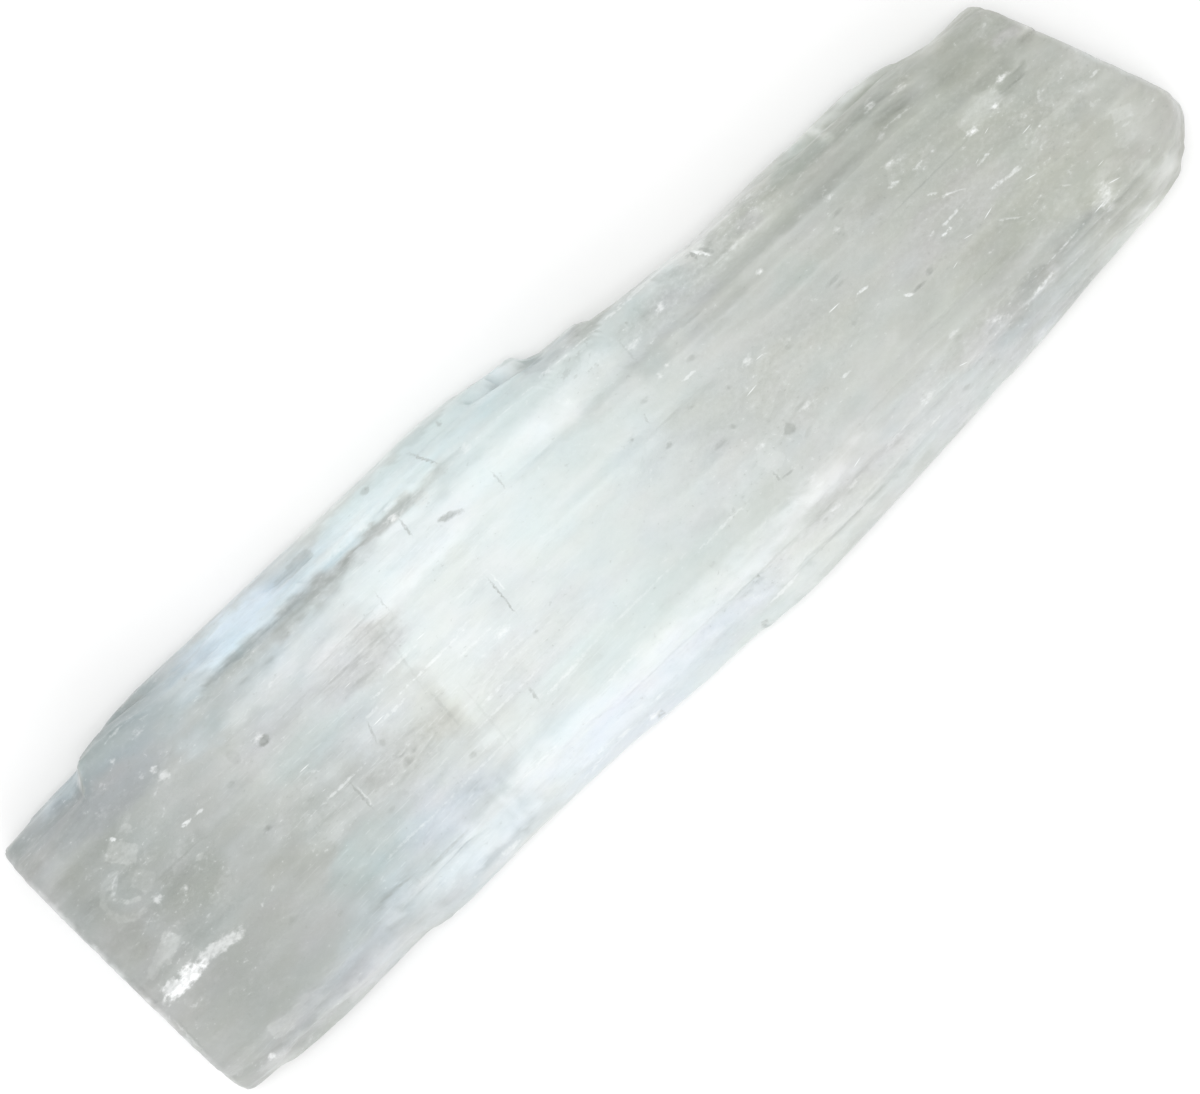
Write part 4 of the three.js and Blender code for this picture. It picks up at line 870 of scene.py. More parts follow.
@dataclass
class SlabSkin:
    """The slab's fine skin: a grid wrapped round the body, with a closed face at each end.

    Attributes:
        name: what the piece is called.
        rows: steps of the grid along the fibres.
        top: steps across the upper face.
        side: steps down each long side.
        under: steps across the underside.
        core: how far the ends of the slab's core line lie inside its long sides, in metres.
        level: height of the core line, in metres.
        rim_rows: how far the rows in the rounded rims lie from the saw cut, in metres.
        turn_from: how far from the middle the rows start to lean towards the saw cut, in metres.
        rubs: how often the skin is rubbed smooth before it is carved.
        swell: how far the sides towards -Y and +Y stand out before they are carved, in millimetres.
        worn: how far the worn part of the top reaches to each side, in metres.
        worn_edge: half the width of its soft edge, in metres.
        worn_rubs: how often that part is rubbed first, along and across the fibres.
        unworn: how near a saw cut it isn't rubbed along the fibres, and where it fully is, in metres.
        cap_steps: how far each ring of an end face is drawn in towards the core, from 0 to 1.
        cap_depth: how far inside an end face it is looked for from, in metres.
        order: the direction along which the skin's vertices and faces are put in order.
        weld: how near vertices are made one, in metres.
        bundles: the fibre bundles, thickest first.
        waves: slow waves in the skin, as a depth in millimetres.
        bits: crumbs that have fallen out where the stone is crumbly.
        grit: what the saw left on the end faces.
        hollows: how deep each kind of mark is, in millimetres.
        marks: the marks in the surface.
        body: the solid's surface.
        box: its lowest and highest corner.
        cuts: its saw cuts, at -X and at +X.
    """

    name: str = "selenite_slab_skin"
    rows: int = 232
    top: int = 226
    side: int = 52
    under: int = 22
    core: float = 9 * MM
    level: float = 8.6 * MM
    rim_rows: tuple[float, ...] = (0.1 * MM, 0.35 * MM, 0.75 * MM, 1.3 * MM, 2.0 * MM)
    turn_from: float = 45 * MM
    rubs: int = 2
    swell: Span = (0.5, 0.32)
    worn: float = 17.5 * MM
    worn_edge: float = 1.5 * MM
    worn_rubs: tuple[int, int] = (16, 40)
    unworn: Span = (2 * MM, 6 * MM)
    cap_steps: tuple[float, ...] = (0.02, 0.06, 0.12, 0.2, 0.3, 0.42, 0.56, 0.72, 0.9)
    cap_depth: float = 7 * MM
    order: Triple = (1.0, 0.618, 0.271)
    weld: float = 0.0001 * MM
    bundles: tuple[Bundles, ...] = (
        Bundles(width=3.1, run=46, step=0.34, groove=0.03, left=0.0, seed=3),
        Bundles(width=1.15, run=21, step=0.17, groove=0.025, left=0.04, seed=11),
        Bundles(width=0.6, run=12, step=0.08, groove=0.02, left=0.12, seed=29),
    )
    waves: Grain = Grain((40, 7, 7), 5, 0.06)
    bits: Grain = Grain((1.9, 0.8, 0.8), 19, 0.14)
    grit: Grain = Grain((0.7, 0.7, 0.7), 17, 0.05)
    hollows: tuple[tuple[MarkKind, float], ...] = (
        (MarkKind.SHADED_PIT, 0.4),
        (MarkKind.CRACK, 0.1),
        (MarkKind.FROST_AND_GLINT, 0.15),
        (MarkKind.FLAKE, 0.08),
    )
    marks: tuple[Mark, ...] = MARKS
    body: BVHTree = field(init=False, repr=False)
    box: tuple[np.ndarray, np.ndarray] = field(init=False, repr=False)
    cuts: tuple[SawCut, SawCut] = field(init=False)

    @property
    def columns(self) -> int:
        """Steps of the grid round the slab."""
        return self.top + 2 * self.side + self.under

    def build(self, node: bpy.types.Object) -> bpy.types.Object:
        """Makes the skin.

        Args:
            node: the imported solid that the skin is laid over.

        Returns:
            The finished mesh object, in place.
        """
        self._read_body(node)
        mesh = bmesh.new()
        bmesh.ops.create_grid(mesh, x_segments=self.rows, y_segments=self.columns, size=0.5)
        self._wrap(mesh)
        bmesh.ops.remove_doubles(mesh, verts=mesh.verts, dist=self.weld)
        self._close_ends(mesh)
        bmesh.ops.recalc_face_normals(mesh, faces=mesh.faces)
        sides = [v for v in mesh.verts if abs(v.normal.x) < 0.2 and v.normal.z > -0.9]
        across = {"use_axis_x": False, "use_axis_y": True, "use_axis_z": True}
        for _ in range(self.rubs):
            bmesh.ops.smooth_vert(mesh, verts=sides, factor=0.5, **across)
        fields = self._carve(mesh)
        data = bpy.data.meshes.new(self.name)
        mesh.to_mesh(data)
        mesh.free()
        self._keep(data, fields)
        data.shade_smooth()
        skin = bpy.data.objects.new(self.name, data)
        bpy.context.scene.collection.objects.link(skin)
        return skin

    @staticmethod
    def _keep(data: bpy.types.Mesh, fields: dict[str, np.ndarray]) -> None:
        """Keeps the stone's fields on the mesh.

        Args:
            data: the mesh.
            fields: the fields by name, with a number, a vector or a colour for each vertex.
        """
        kinds = {1: ("FLOAT", "value"), 3: ("FLOAT_VECTOR", "vector"), 4: ("FLOAT_COLOR", "color")}
        for name, values in fields.items():
            kind, key = kinds[values.shape[1] if values.ndim == 2 else 1]
            data.attributes.new(name, kind, "POINT").data.foreach_set(key, values.ravel())

    def _read_body(self, node: bpy.types.Object) -> None:
        """Keeps the solid's surface, ready to be measured, and finds its saw cuts.

        Args:
            node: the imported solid.
        """
        copy = bmesh.new()
        copy.from_mesh(node.data)
        bmesh.ops.remove_doubles(copy, verts=copy.verts, dist=10 * self.weld)
        self.body = BVHTree.FromBMesh(copy)
        places = np.array([v.co for v in copy.verts])
        self.box = places.min(axis=0), places.max(axis=0)
        copy.free()
        self.cuts = (SawCut.find(self.body, -1, self.level), SawCut.find(self.body, 1, self.level))

    def _places(self) -> list[float]:
        """Places the rows along the slab, close together in the rounded rims.

        Returns:
            Their places, in metres.
        """
        left, right = self.cuts[0].at, self.cuts[1].at
        rim = list(self.rim_rows)
        inner = self.rows + 1 - 2 * len(rim)
        first, last = left + rim[-1], right - rim[-1]
        gap = (last - first) / (inner + 1)
        middle = [first + gap * (k + 1) for k in range(inner)]
        return [left + d for d in rim] + middle + [right - d for d in reversed(rim)]

    def _skew(self, place: float) -> float:
        """Gives how far a row leans along X for each metre across, to meet the nearer saw cut.

        Args:
            place: where the row crosses the middle of the slab, in metres.

        Returns:
            The slope of the row.
        """
        cut = self.cuts[0] if place < 0 else self.cuts[1]
        share = float(ease(np.array(abs(place)), self.turn_from, abs(cut.at)))
        return share * cut.slope

    def _rays(self, low: float, high: float) -> list[Triple]:
        """Gives the rays that fan out from the core line to the skin, once round a row.

        Args:
            low: where the core line ends towards -Y.
            high: where it ends towards +Y.

        Returns:
            For each column, the start across the slab, and the direction across and up.
        """
        turns = [math.pi * k / self.side for k in range(self.side)]
        rays = [(low + (high - low) * k / self.under, 0.0, -1.0) for k in range(self.under)]
        rays += [(high, math.sin(turn), -math.cos(turn)) for turn in turns]
        rays += [(high + (low - high) * k / self.top, 0.0, 1.0) for k in range(self.top)]
        rays += [(low, -math.sin(turn), math.cos(turn)) for turn in turns]
        return rays + rays[:1]

    def _reach(self, place: float, skew: float, side: int) -> float:
        """Finds how far across the body reaches in a row.

        Args:
            place: where the row crosses the middle of the slab, in metres.
            skew: the slope of the row.
            side: 1 for the long side towards +Y, -1 for the other.

        Returns:
            The place of that side across the slab, in metres.
        """
        start = Vector((place, 0, self.level))
        aim = Vector((skew * side, side, 0)).normalized()
        return self.body.ray_cast(start, aim)[0].y

    def _wrap(self, mesh: bmesh.types.BMesh) -> None:
        """Lays the flat grid round the body, row by row.

        Args:
            mesh: the grid, half a metre to each side of the origin.
        """
        hits = np.zeros((self.rows + 1, self.columns + 1, 3))
        for row, place in enumerate(self._places()):
            skew = self._skew(place)
            high = self._reach(place, skew, 1) - self.core
            low = self._reach(place, skew, -1) + self.core
            for column, (across, aim_y, aim_z) in enumerate(self._rays(low, high)):
                start = Vector((place + skew * across, across, self.level))
                aim = Vector((skew * aim_y, aim_y, aim_z)).normalized()
                hits[row, column] = self.body.ray_cast(start, aim)[0]
        self._wear(hits)
        for vert in mesh.verts:
            row = round((vert.co.x + 0.5) * self.rows)
            column = round((vert.co.y + 0.5) * self.columns)
            vert.co = hits[row, column]

    def _wear(self, hits: np.ndarray) -> None:
        """Wears the ridges off the middle of the top.

        Args:
            hits: rows by columns by 3 places on the skin, in metres; the heights of the top are changed.
        """
        top = hits[:, self.under + self.side : self.under + self.side + self.top]
        left, right = (np.abs(top[..., 0] - cut.at) for cut in self.cuts)
        inside = ease(np.minimum(left, right), *self.unworn)
        level = top[..., 2].copy()
        for axis, (rubs, share) in enumerate(zip(self.worn_rubs, (inside, 1.0))):
            rubbed = np.swapaxes(level, 0, axis).copy()
            for _ in range(rubs):
                rubbed[1:-1] = (rubbed[:-2] + 2 * rubbed[1:-1] + rubbed[2:]) / 4
            level += share * (np.swapaxes(rubbed, 0, axis) - level)
        share = ease(np.abs(top[..., 1]), self.worn + self.worn_edge, self.worn - self.worn_edge)
        top[..., 2] += share * (level - top[..., 2])

    def _close_ends(self, mesh: bmesh.types.BMesh) -> None:
        """Draws each open rim inwards, ring by ring, over the sawn face.

        Args:
            mesh: the wrapped skin, open at both ends.
        """
        for side, cut in zip((-1, 1), self.cuts):
            rim = [e for e in mesh.edges if e.is_boundary and e.verts[0].co.x * side > 0]
            verts = list({v for e in rim for v in e.verts})
            high = max(v.co.y for v in verts) - self.core
            low = min(v.co.y for v in verts) + self.core
            outline = {v: (v.co.y, v.co.z) for v in verts}
            for step in self.cap_steps:
                grown = bmesh.ops.extrude_edge_only(mesh, edges=rim)["geom"]
                ring = [g for g in grown if isinstance(g, bmesh.types.BMVert)]
                outline = self._match(ring, outline)
                for vert in ring:
                    y, z = outline[vert]
                    core_y = min(max(y, low), high)
                    y, z = y + (core_y - y) * step, z + (self.level - z) * step
                    start = Vector((cut.at + cut.slope * y - side * self.cap_depth, y, z))
                    hit = self.body.ray_cast(start, Vector((side, 0, 0)))[0]
                    vert.co = hit if hit else Vector((cut.at + cut.slope * y, y, z))
                rim = [g for g in grown if isinstance(g, bmesh.types.BMEdge) and g.is_boundary]
            filled = bmesh.ops.contextual_create(mesh, geom=rim)["faces"]
            bmesh.ops.triangulate(mesh, faces=filled)
        # drawing in the rims leaves vertices and faces in no fixed order, so one is set here
        order = Vector(self.order)
        mesh.verts.sort(key=lambda vert: vert.co.dot(order))
        mesh.faces.sort(key=lambda face: face.calc_center_median().dot(order))

    @staticmethod
    def _match(
        ring: list[bmesh.types.BMVert], outline: dict[bmesh.types.BMVert, Span]
    ) -> dict[bmesh.types.BMVert, Span]:
        """Gives each new vertex the outline point of the vertex that it grew from.

        Args:
            ring: the new vertices.
            outline: the outline points, across and up, of the vertices that they grew from.

        Returns:
            The outline points of the new vertices.
        """
        matched = {}
        for vert in ring:
            parent = next(e.other_vert(vert) for e in vert.link_edges if e.other_vert(vert) in outline)
            matched[vert] = outline[parent]
        return matched

    def _carve(self, mesh: bmesh.types.BMesh) -> dict[str, np.ndarray]:
        """Cuts the bundles, the splinters and the marks into the skin.

        Args:
            mesh: the closed skin.

        Returns:
            The stone's fields, one number, vector or colour a vertex for each.
        """
        verts = list(mesh.verts)
        places = np.array([v.co for v in verts]) / MM
        normals = np.array([v.normal for v in verts])
        fields = StoneMap().read(places, normals)
        depth = self._relief(places, normals, fields)
        moved = (places - normals * depth[:, None]) * MM
        for vert, place in zip(verts, np.clip(moved, *self.box)):
            vert.co = place
        return fields

    def _relief(
        self, places: np.ndarray, normals: np.ndarray, fields: dict[str, np.ndarray]
    ) -> np.ndarray:
        """Works out how deep the skin is carved at each vertex.

        Args:
            places: the vertices, in millimetres.
            normals: their outward directions.
            fields: the stone's fields there.

        Returns:
            Depths in millimetres.
        """
        straight = along_fibres(places)
        upward = normals[:, 2]
        underside = ease(upward, -0.6, -0.95)
        worn = ease(upward, 0.86, 0.985)
        depth = sum(b.depth(straight) * (1 - (1 - b.left * fields["silk"]) * worn) for b in self.bundles)
        depth = depth * (1 - 0.75 * underside)
        depth = depth - np.where(normals[:, 1] < 0, *self.swell) * ease(np.abs(normals[:, 1]), 0.3, 0.9)
        depth = depth + self.waves.rise(straight) * (1 - underside)
        depth = depth + self.bits.rise(places) * fields["crumble"]
        depth = depth * (1 - fields["sawn"]) + self.grit.rise(places) * fields["sawn"]
        return depth + self._mark_depth(places) * ease(upward, -0.1, 0.2)

    def _mark_depth(self, places: np.ndarray) -> np.ndarray:
        """Adds up the hollows that the marks leave.

        Args:
            places: n by 3 places, in millimetres.

        Returns:
            Depths in millimetres.
        """
        deepest = dict(self.hollows)
        depth = np.zeros(len(places))
        for mark in self.marks:
            if mark.kind in deepest:
                depth += deepest[mark.kind] * mark.strength * ease(mark.inside(places), -0.1, 0.35)
        return depth * (places[:, 2] > MARKED_FROM)


# ---- finishes ---------------------------------------------------------------------------------------

Socket = bpy.types.NodeSocket
Term = float | tuple[float, ...] | Socket


@dataclass
class Wiring:
    """Writes a shader's nodes, a line at a time.

    Attributes:
        tree: the shader's node tree.
    """

    tree: bpy.types.NodeTree

    def node(self, kind: str, *terms: Term, **settings: object) -> bpy.types.Node:
        """Adds a node.

        Args:
            kind: which node it is.
            terms: what its first inputs are fed with.
            settings: its settings.

        Returns:
            The node.
        """
        made = self.tree.nodes.new(kind)
        for key, value in settings.items():
            setattr(made, key, value)
        for socket, term in zip(made.inputs, terms):
            self.put(socket, term)
        return made

    def put(self, socket: Socket, term: Term) -> None:
        """Feeds a socket from another socket, or sets its own value.

        Args:
            socket: the socket to feed.
            term: the other socket, or the value.
        """
        if isinstance(term, bpy.types.NodeSocket):
            self.tree.links.new(term, socket)
        else:
            socket.default_value = term

    def math(self, operation: str, *terms: Term) -> Socket:
        """Combines numbers."""
        return self.node("ShaderNodeMath", *terms, operation=operation).outputs[0]

    def vector(self, operation: str, *terms: Term) -> Socket:
        """Combines vectors; a length is a number."""
        made = self.node("ShaderNodeVectorMath", *terms, operation=operation)
        return made.outputs["Value" if operation == "LENGTH" else "Vector"]

    def scale(self, where: Socket, size: float) -> Socket:
        """Scales a vector.

        Args:
            where: the vector.
            size: how much longer it is made.

        Returns:
            The scaled vector.
        """
        made = self.node("ShaderNodeVectorMath", where, operation="SCALE")
        self.put(made.inputs["Scale"], size)
        return made.outputs[0]

    def parts(self, kind: str, whole: Socket) -> dict[str, Socket]:
        """Parts a vector or a colour by one kind of node, and gives its parts by name."""
        return {output.name: output for output in self.node(kind, whole).outputs}

    def split(self, where: Socket) -> dict[str, Socket]:
        """Parts a vector into its X, Y and Z."""
        return self.parts("ShaderNodeSeparateXYZ", where)

    def part(self, colour: Socket) -> dict[str, Socket]:
        """Parts a colour into its red, green and blue."""
        return self.parts("ShaderNodeSeparateColor", colour)

    def field(self, name: str, output: str = "Fac") -> Socket:
        """Reads one of the stone's fields, as a number unless another output is named."""
        held = self.node("ShaderNodeAttribute", attribute_type="GEOMETRY", attribute_name=name)
        return held.outputs[output]

    def centred(self, value: Socket) -> Socket:
        """Brings a number from 0 to 1 round 0."""
        return self.math("SUBTRACT", value, 0.5)

    def fade(self, value: Term, low: float, high: float, start: Term = 0.0, end: Term = 1.0) -> Socket:
        """Runs smoothly from one number to another.

        Args:
            value: the number that it follows.
            low: that number where it starts.
            high: that number where it ends.
            start: what it starts from.
            end: what it ends at.

        Returns:
            The number it has run to.
        """
        made = self.node("ShaderNodeMapRange", interpolation_type="SMOOTHSTEP")
        names = ("Value", "From Min", "From Max", "To Min", "To Max")
        for name, term in zip(names, (value, low, high, start, end)):
            self.put(made.inputs[name], term)
        return made.outputs["Result"]

    def noise(self, where: Socket, size: Triple, detail: float, rough: float = 0.5) -> Socket:
        """Reads noise.

        Args:
            where: the place.
            size: size of a blotch, in the place's own unit.
            detail: how many finer noises are laid over it.
            rough: how strong each of them is, as a share of the one before.

        Returns:
            A number from 0 to 1.
        """
        made = self.node("ShaderNodeTexNoise", self.vector("DIVIDE", where, size))
        for name, term in (("Scale", 1.0), ("Detail", detail), ("Roughness", rough)):
            self.put(made.inputs[name], term)
        return made.outputs["Fac"]

    def cells(self, scaled: Socket, metric: str = "EUCLIDEAN") -> bpy.types.Node:
        """Strews cells at random over X and Y.

        Args:
            scaled: the place, in cells.
            metric: how distances are measured, which gives the cells their shape.

        Returns:
            The node that gives each cell its own colour and position.
        """
        made = self.node(
            "ShaderNodeTexVoronoi", scaled, voronoi_dimensions="2D", feature="F1", distance=metric
        )
        self.put(made.inputs["Scale"], 1.0)
        return made

    def blend(self, share: Term, under: Term, over: Term) -> Socket:
        """Lays one colour over another.

        Args:
            share: how far it covers the other, from 0 to 1.
            under: the colour below.
            over: the colour above.

        Returns:
            The blended colour.
        """
        made = self.node("ShaderNodeMix", data_type="RGBA", clamp_factor=True)
        self.put(made.inputs["Factor"], share)
        self.put(made.inputs[6], under)
        self.put(made.inputs[7], over)
        return made.outputs[2]


@dataclass(frozen=True)
class NeedleGlints:
    """Painted splinter glints: bright highlights strewn at random, one at most in each cell.

    Attributes:
        cell: size of a cell, in millimetres.
        size: half the usual size of a splinter, in millimetres.
        smallest: size of the smallest splinter, as a share of the usual one.
        varied: how much larger the largest is, as such a share.
        swing: how far a splinter may turn from the fibres, in radians.
        share: how many of the cells hold one where they lie thickest.
        glint_brightness: how plainly a painted splinter glint shows, from 0 to 1.
    """

    cell: Triple = (4.2, 2.2, 1)
    size: Triple = (0.9, 0.07, 99)
    smallest: float = 0.3
    varied: float = 0.9
    swing: float = 0.3
    share: float = 0.34
    glint_brightness: float = 0.7

    def draw(self, wire: Wiring, place: Socket, thick: Socket) -> Socket:
        """Draws the painted splinter glints.

        Args:
            wire: writes the nodes.
            place: the place, in millimetres.
            thick: how thick they lie, from 0 to 1.

        Returns:
            A mask of them.
        """
        scaled = wire.vector("DIVIDE", place, self.cell)
        cells = wire.cells(scaled)
        draws = wire.part(cells.outputs["Color"])
        offset = wire.vector("SUBTRACT", scaled, cells.outputs["Position"])
        offset = wire.vector("MULTIPLY", offset, self.cell)
        turned = wire.node("ShaderNodeVectorRotate", offset, rotation_type="Z_AXIS")
        angle = wire.math("MULTIPLY_ADD", draws["Green"], 2 * self.swing, -self.swing)
        wire.put(turned.inputs["Angle"], angle)
        length = wire.vector("LENGTH", wire.vector("DIVIDE", turned.outputs[0], self.size))
        drawn = wire.math("MULTIPLY_ADD", draws["Blue"], self.varied, self.smallest)
        away = wire.math("DIVIDE", length, drawn)
        present = wire.math("LESS_THAN", draws["Red"], wire.math("MULTIPLY", thick, self.share))
        return wire.math("MULTIPLY", wire.fade(away, 1.3, 0.5, 0, self.glint_brightness), present)


@dataclass(frozen=True)
class MarkLook:
    """How one kind of mark looks.

    Attributes:
        colour: its colour.
        cover: how far it covers the stone, from 0 to 1.
        soft: how far its edge fades, in millimetres.
        ragged: how far its outline wanders, in millimetres.
        broken: how far crumbs break it up, from 0 to 1.
    """

    colour: Colour
    cover: float
    soft: float
    ragged: float
    broken: float = 0.0


MARK_LOOKS = {
    MarkKind.FLAKE: MarkLook((0.70, 0.72, 0.70, 1), 0.34, 0.16, 0.55, 0.4),
    MarkKind.CRACK: MarkLook((0.28, 0.30, 0.28, 1), 0.6, 0.1, 1.0, 0.6),
    # dark specks, and painted shade on the floors of the hollows
    MarkKind.SHADED_PIT: MarkLook((0.27, 0.29, 0.26, 1), 0.5, 0.16, 0.7, 0.4),
    # crushed white patches, and painted highlights on two pits' rims
    MarkKind.FROST_AND_GLINT: MarkLook((0.92, 0.93, 0.93, 1), 0.92, 0.35, 1.2, 0.35),
    # painted highlights along the fibres
    MarkKind.PAINTED_GLINT: MarkLook((0.88, 0.90, 0.90, 1), 0.6, 0.1, 0.6, 0.8),
    # painted highlights across the fibres
    MarkKind.SPLIT: MarkLook((0.92, 0.94, 0.94, 1), 0.7, 0.1, 0.8, 0.6),
}
SATIN = {
    "IOR": 1.52,
    "Specular IOR Level": 0.4,
    "Anisotropic": 0.65,
    "Anisotropic Rotation": 0.25,
    "Subsurface Weight": 0.5,
    "Subsurface Scale": 0.0025,
    "Subsurface Radius": (1.0, 1.0, 0.95),
}


@dataclass(frozen=True)
class SatinSpar:
    """The finish of the stone: the colour that its mesh holds, with fine fibres, crumbs and marks, and
    painted glints.

    Attributes:
        name: what the finish is called.
        milk_and_light: colour of the palest chips, and of the painted splinter glints and glint dashes.
        smoke: colour of the darkest chips.
        hair: size of the finest fibres, in millimetres.
        crumb: size of the crumbs, in millimetres.
        grit: size of the chips, in millimetres.
        shards: size of the facets in the clear ends, in millimetres.
        blocks: size of the facets between the fibres, in millimetres.
        askew: how far the shards are turned from the fibres, in degrees.
        chips: the palest and darkest crumbs and chips: which noise they are cut from, how far it is
            raised where flaws lie thick, where they start to show and fully do, and how milky they are.
        bump: how high the finest fibres and crumbs stand, in metres.
        marks: the marks in the surface.
        needle_glints: the painted splinter glints.
    """

    name: str = "satin_spar"
    milk_and_light: Colour = (*MILK_TONE, 1)
    smoke: Colour = (*SMOKE_TONE, 1)
    hair: Triple = (2.8, 0.24, 0.24)
    crumb: Triple = (0.95, 0.65, 0.65)
    grit: Triple = (2.3, 1.6, 1.6)
    shards: Triple = (3.2, 1.8, 1)
    blocks: Triple = (5.0, 1.5, 1)
    askew: float = 24
    chips: tuple[tuple[str, float, float, float, float], ...] = (
        ("crumb", 0.05, 0.68, 0.74, 0.2),
        ("crumb", -0.05, 0.32, 0.26, -0.2),
        ("grit", 0.05, 0.68, 0.73, 0.14),
        ("grit", -0.05, 0.32, 0.27, -0.16),
    )
    bump: float = 0.04 * MM
    marks: tuple[Mark, ...] = MARKS
    needle_glints: NeedleGlints = NeedleGlints()

    def material(self) -> bpy.types.Material:
        """Makes the material.

        Returns:
            The finished material.
        """
        made = bpy.data.materials.new(self.name)
        made.use_nodes = True
        made.node_tree.nodes.clear()
        wire = Wiring(made.node_tree)
        place = wire.scale(wire.node("ShaderNodeTexCoord").outputs["Object"], 1 / MM)
        straight = self._straight(wire, place)
        hair = wire.noise(straight, self.hair, 1)
        crumb = wire.noise(place, self.crumb, 3, 0.65)
        colour = self._stone(wire, place, straight, hair, crumb)
        # painted highlights: the splinter glints are laid on in the palest tone
        colour = wire.blend(self.needle_glints.draw(wire, place, wire.field("needle_glints")), colour, self.milk_and_light)
        # the marks lay painted shade on pit floors and painted highlights on glints and split lines
        for kind, look in MARK_LOOKS.items():
            mask = self._lines(wire, place, crumb, kind) if kind in LINES else self._mask(wire, crumb, kind)
            cover = wire.fade(crumb, 0.35, 0.6, look.cover * (1 - look.broken), look.cover)
            colour = wire.blend(wire.math("MULTIPLY", mask, cover), colour, look.colour)

        shader = wire.node("ShaderNodeBsdfPrincipled")
        wire.put(shader.inputs["Base Color"], colour)
        rough = wire.fade(hair, 0.3, 0.7, 0.4, 0.5)
        wire.put(shader.inputs["Roughness"], wire.math("MULTIPLY_ADD", wire.field("sawn"), 0.2, rough))
        for name, value in SATIN.items():
            shader.inputs[name].default_value = value
        tangent = wire.node("ShaderNodeTangent", direction_type="RADIAL", axis="X")
        wire.put(shader.inputs["Tangent"], tangent.outputs[0])
        wire.put(shader.inputs["Normal"], self._bump(wire, hair, crumb))
        output = wire.node("ShaderNodeOutputMaterial")
        wire.put(output.inputs["Surface"], shader.outputs["BSDF"])
        return made

    @staticmethod
    def _straight(wire: Wiring, place: Socket) -> Socket:
        """Straightens the fibres as along_fibres does.

        Args:
            wire: writes the nodes.
            place: the place, in millimetres.

        Returns:
            The same place with every fibre laid parallel to X.
        """
        parts = wire.split(place)
        fan = wire.fade(parts["Y"], *FAN_SPAN, 0, FAN)
        across = wire.math("SUBTRACT", parts["Y"], wire.math("MULTIPLY", fan, parts["X"]))
        return wire.node("ShaderNodeCombineXYZ", parts["X"], across, parts["Z"]).outputs[0]

    def _stone(self, wire: Wiring, place: Socket, straight: Socket, hair: Socket, crumb: Socket) -> Socket:
        """Adds fine fibres, painted glint dashes, crumbs, facets and chips to the colour that the mesh
        holds.

        Args:
            wire: writes the nodes.
            place: the place, in millimetres.
            straight: the same place with the fibres straightened.
            hair: the noise of the finest fibres.
            crumb: the noise of the crumbs.

        Returns:
            The stone's colour, without its marks.
        """
        silk = wire.field("silk")
        flaws = wire.field("flaws")
        milk_and_light = wire.math("MULTIPLY", wire.centred(hair), wire.math("MULTIPLY", silk, 0.14))
        # painted highlights: thin bright dashes along the fibres where light would glance off them
        glint_brightness = wire.math("MULTIPLY", wire.fade(hair, 0.66, 0.71), wire.math("MULTIPLY", silk, 0.13))
        milk_and_light = wire.math("ADD", milk_and_light, glint_brightness)
        crumble = wire.math("MULTIPLY_ADD", wire.field("crumble"), 0.9, 0.18)
        milk_and_light = wire.math("MULTIPLY_ADD", wire.centred(crumb), crumble, milk_and_light)
        shards = self._facets(wire, place, crumb, self.shards, self.askew)
        milk_and_light = wire.math("MULTIPLY_ADD", shards, wire.math("MULTIPLY", flaws, 0.13), milk_and_light)
        blocks = self._facets(wire, straight, crumb, self.blocks, 0)
        milk_and_light = wire.math("MULTIPLY_ADD", blocks, wire.math("MULTIPLY", silk, 0.1), milk_and_light)
        grit = wire.noise(place, self.grit, 3, 0.7)
        gritty = wire.math("MULTIPLY_ADD", flaws, 0.36, 0.06)
        milk_and_light = wire.math("MULTIPLY_ADD", wire.centred(grit), gritty, milk_and_light)
        patterns = {"crumb": crumb, "grit": grit}
        for pattern, raised, low, high, milky in self.chips:
            shown = wire.fade(wire.math("MULTIPLY_ADD", flaws, raised, patterns[pattern]), low, high)
            milk_and_light = wire.math("MULTIPLY_ADD", shown, milky, milk_and_light)
        colour = wire.blend(wire.math("MAXIMUM", milk_and_light, 0.0), wire.field("stone", "Color"), self.milk_and_light)
        smoke = wire.math("MULTIPLY", milk_and_light, -1.0)
        return wire.blend(wire.math("MAXIMUM", smoke, 0.0), colour, self.smoke)

    @staticmethod
    def _facets(wire: Wiring, place: Socket, crumb: Socket, size: Triple, turn: float) -> Socket:
        """Parts the stone into angular facets that are each a little paler or darker.

        Args:
            wire: writes the nodes.
            place: the place, in millimetres.
            crumb: the noise of the crumbs, which frays the facets.
            size: size of a facet, in millimetres.
            turn: how far the facets are turned from the fibres, in degrees.

        Returns:
            A number for each facet, from -0.5 to 0.5.
        """
        frayed = wire.vector("ADD", place, wire.math("MULTIPLY", crumb, 0.5))
        turned = wire.node("ShaderNodeMapping", frayed, vector_type="TEXTURE")
        turned.inputs["Rotation"].default_value = (0, 0, math.radians(turn))
        turned.inputs["Scale"].default_value = size
        cells = wire.cells(turned.outputs[0], "MANHATTAN" if turn else "CHEBYCHEV")
        return wire.centred(wire.part(cells.outputs["Color"])["Red"])

    @staticmethod
    def _mask(wire: Wiring, crumb: Socket, kind: MarkKind) -> Socket:
        """Shows where the marks of one kind are, from the outlines that the mesh holds.

        Args:
            wire: writes the nodes.
            crumb: the noise of the crumbs, which frays the outlines.
            kind: which marks to show.

        Returns:
            A mask of them.
        """
        look = MARK_LOOKS[kind]
        parts = wire.split(wire.field(kind.name.lower(), "Vector"))
        inside = wire.math("MULTIPLY_ADD", wire.centred(crumb), look.ragged, parts["X"])
        return wire.fade(inside, -look.soft, look.soft, 0.0, parts["Y"])

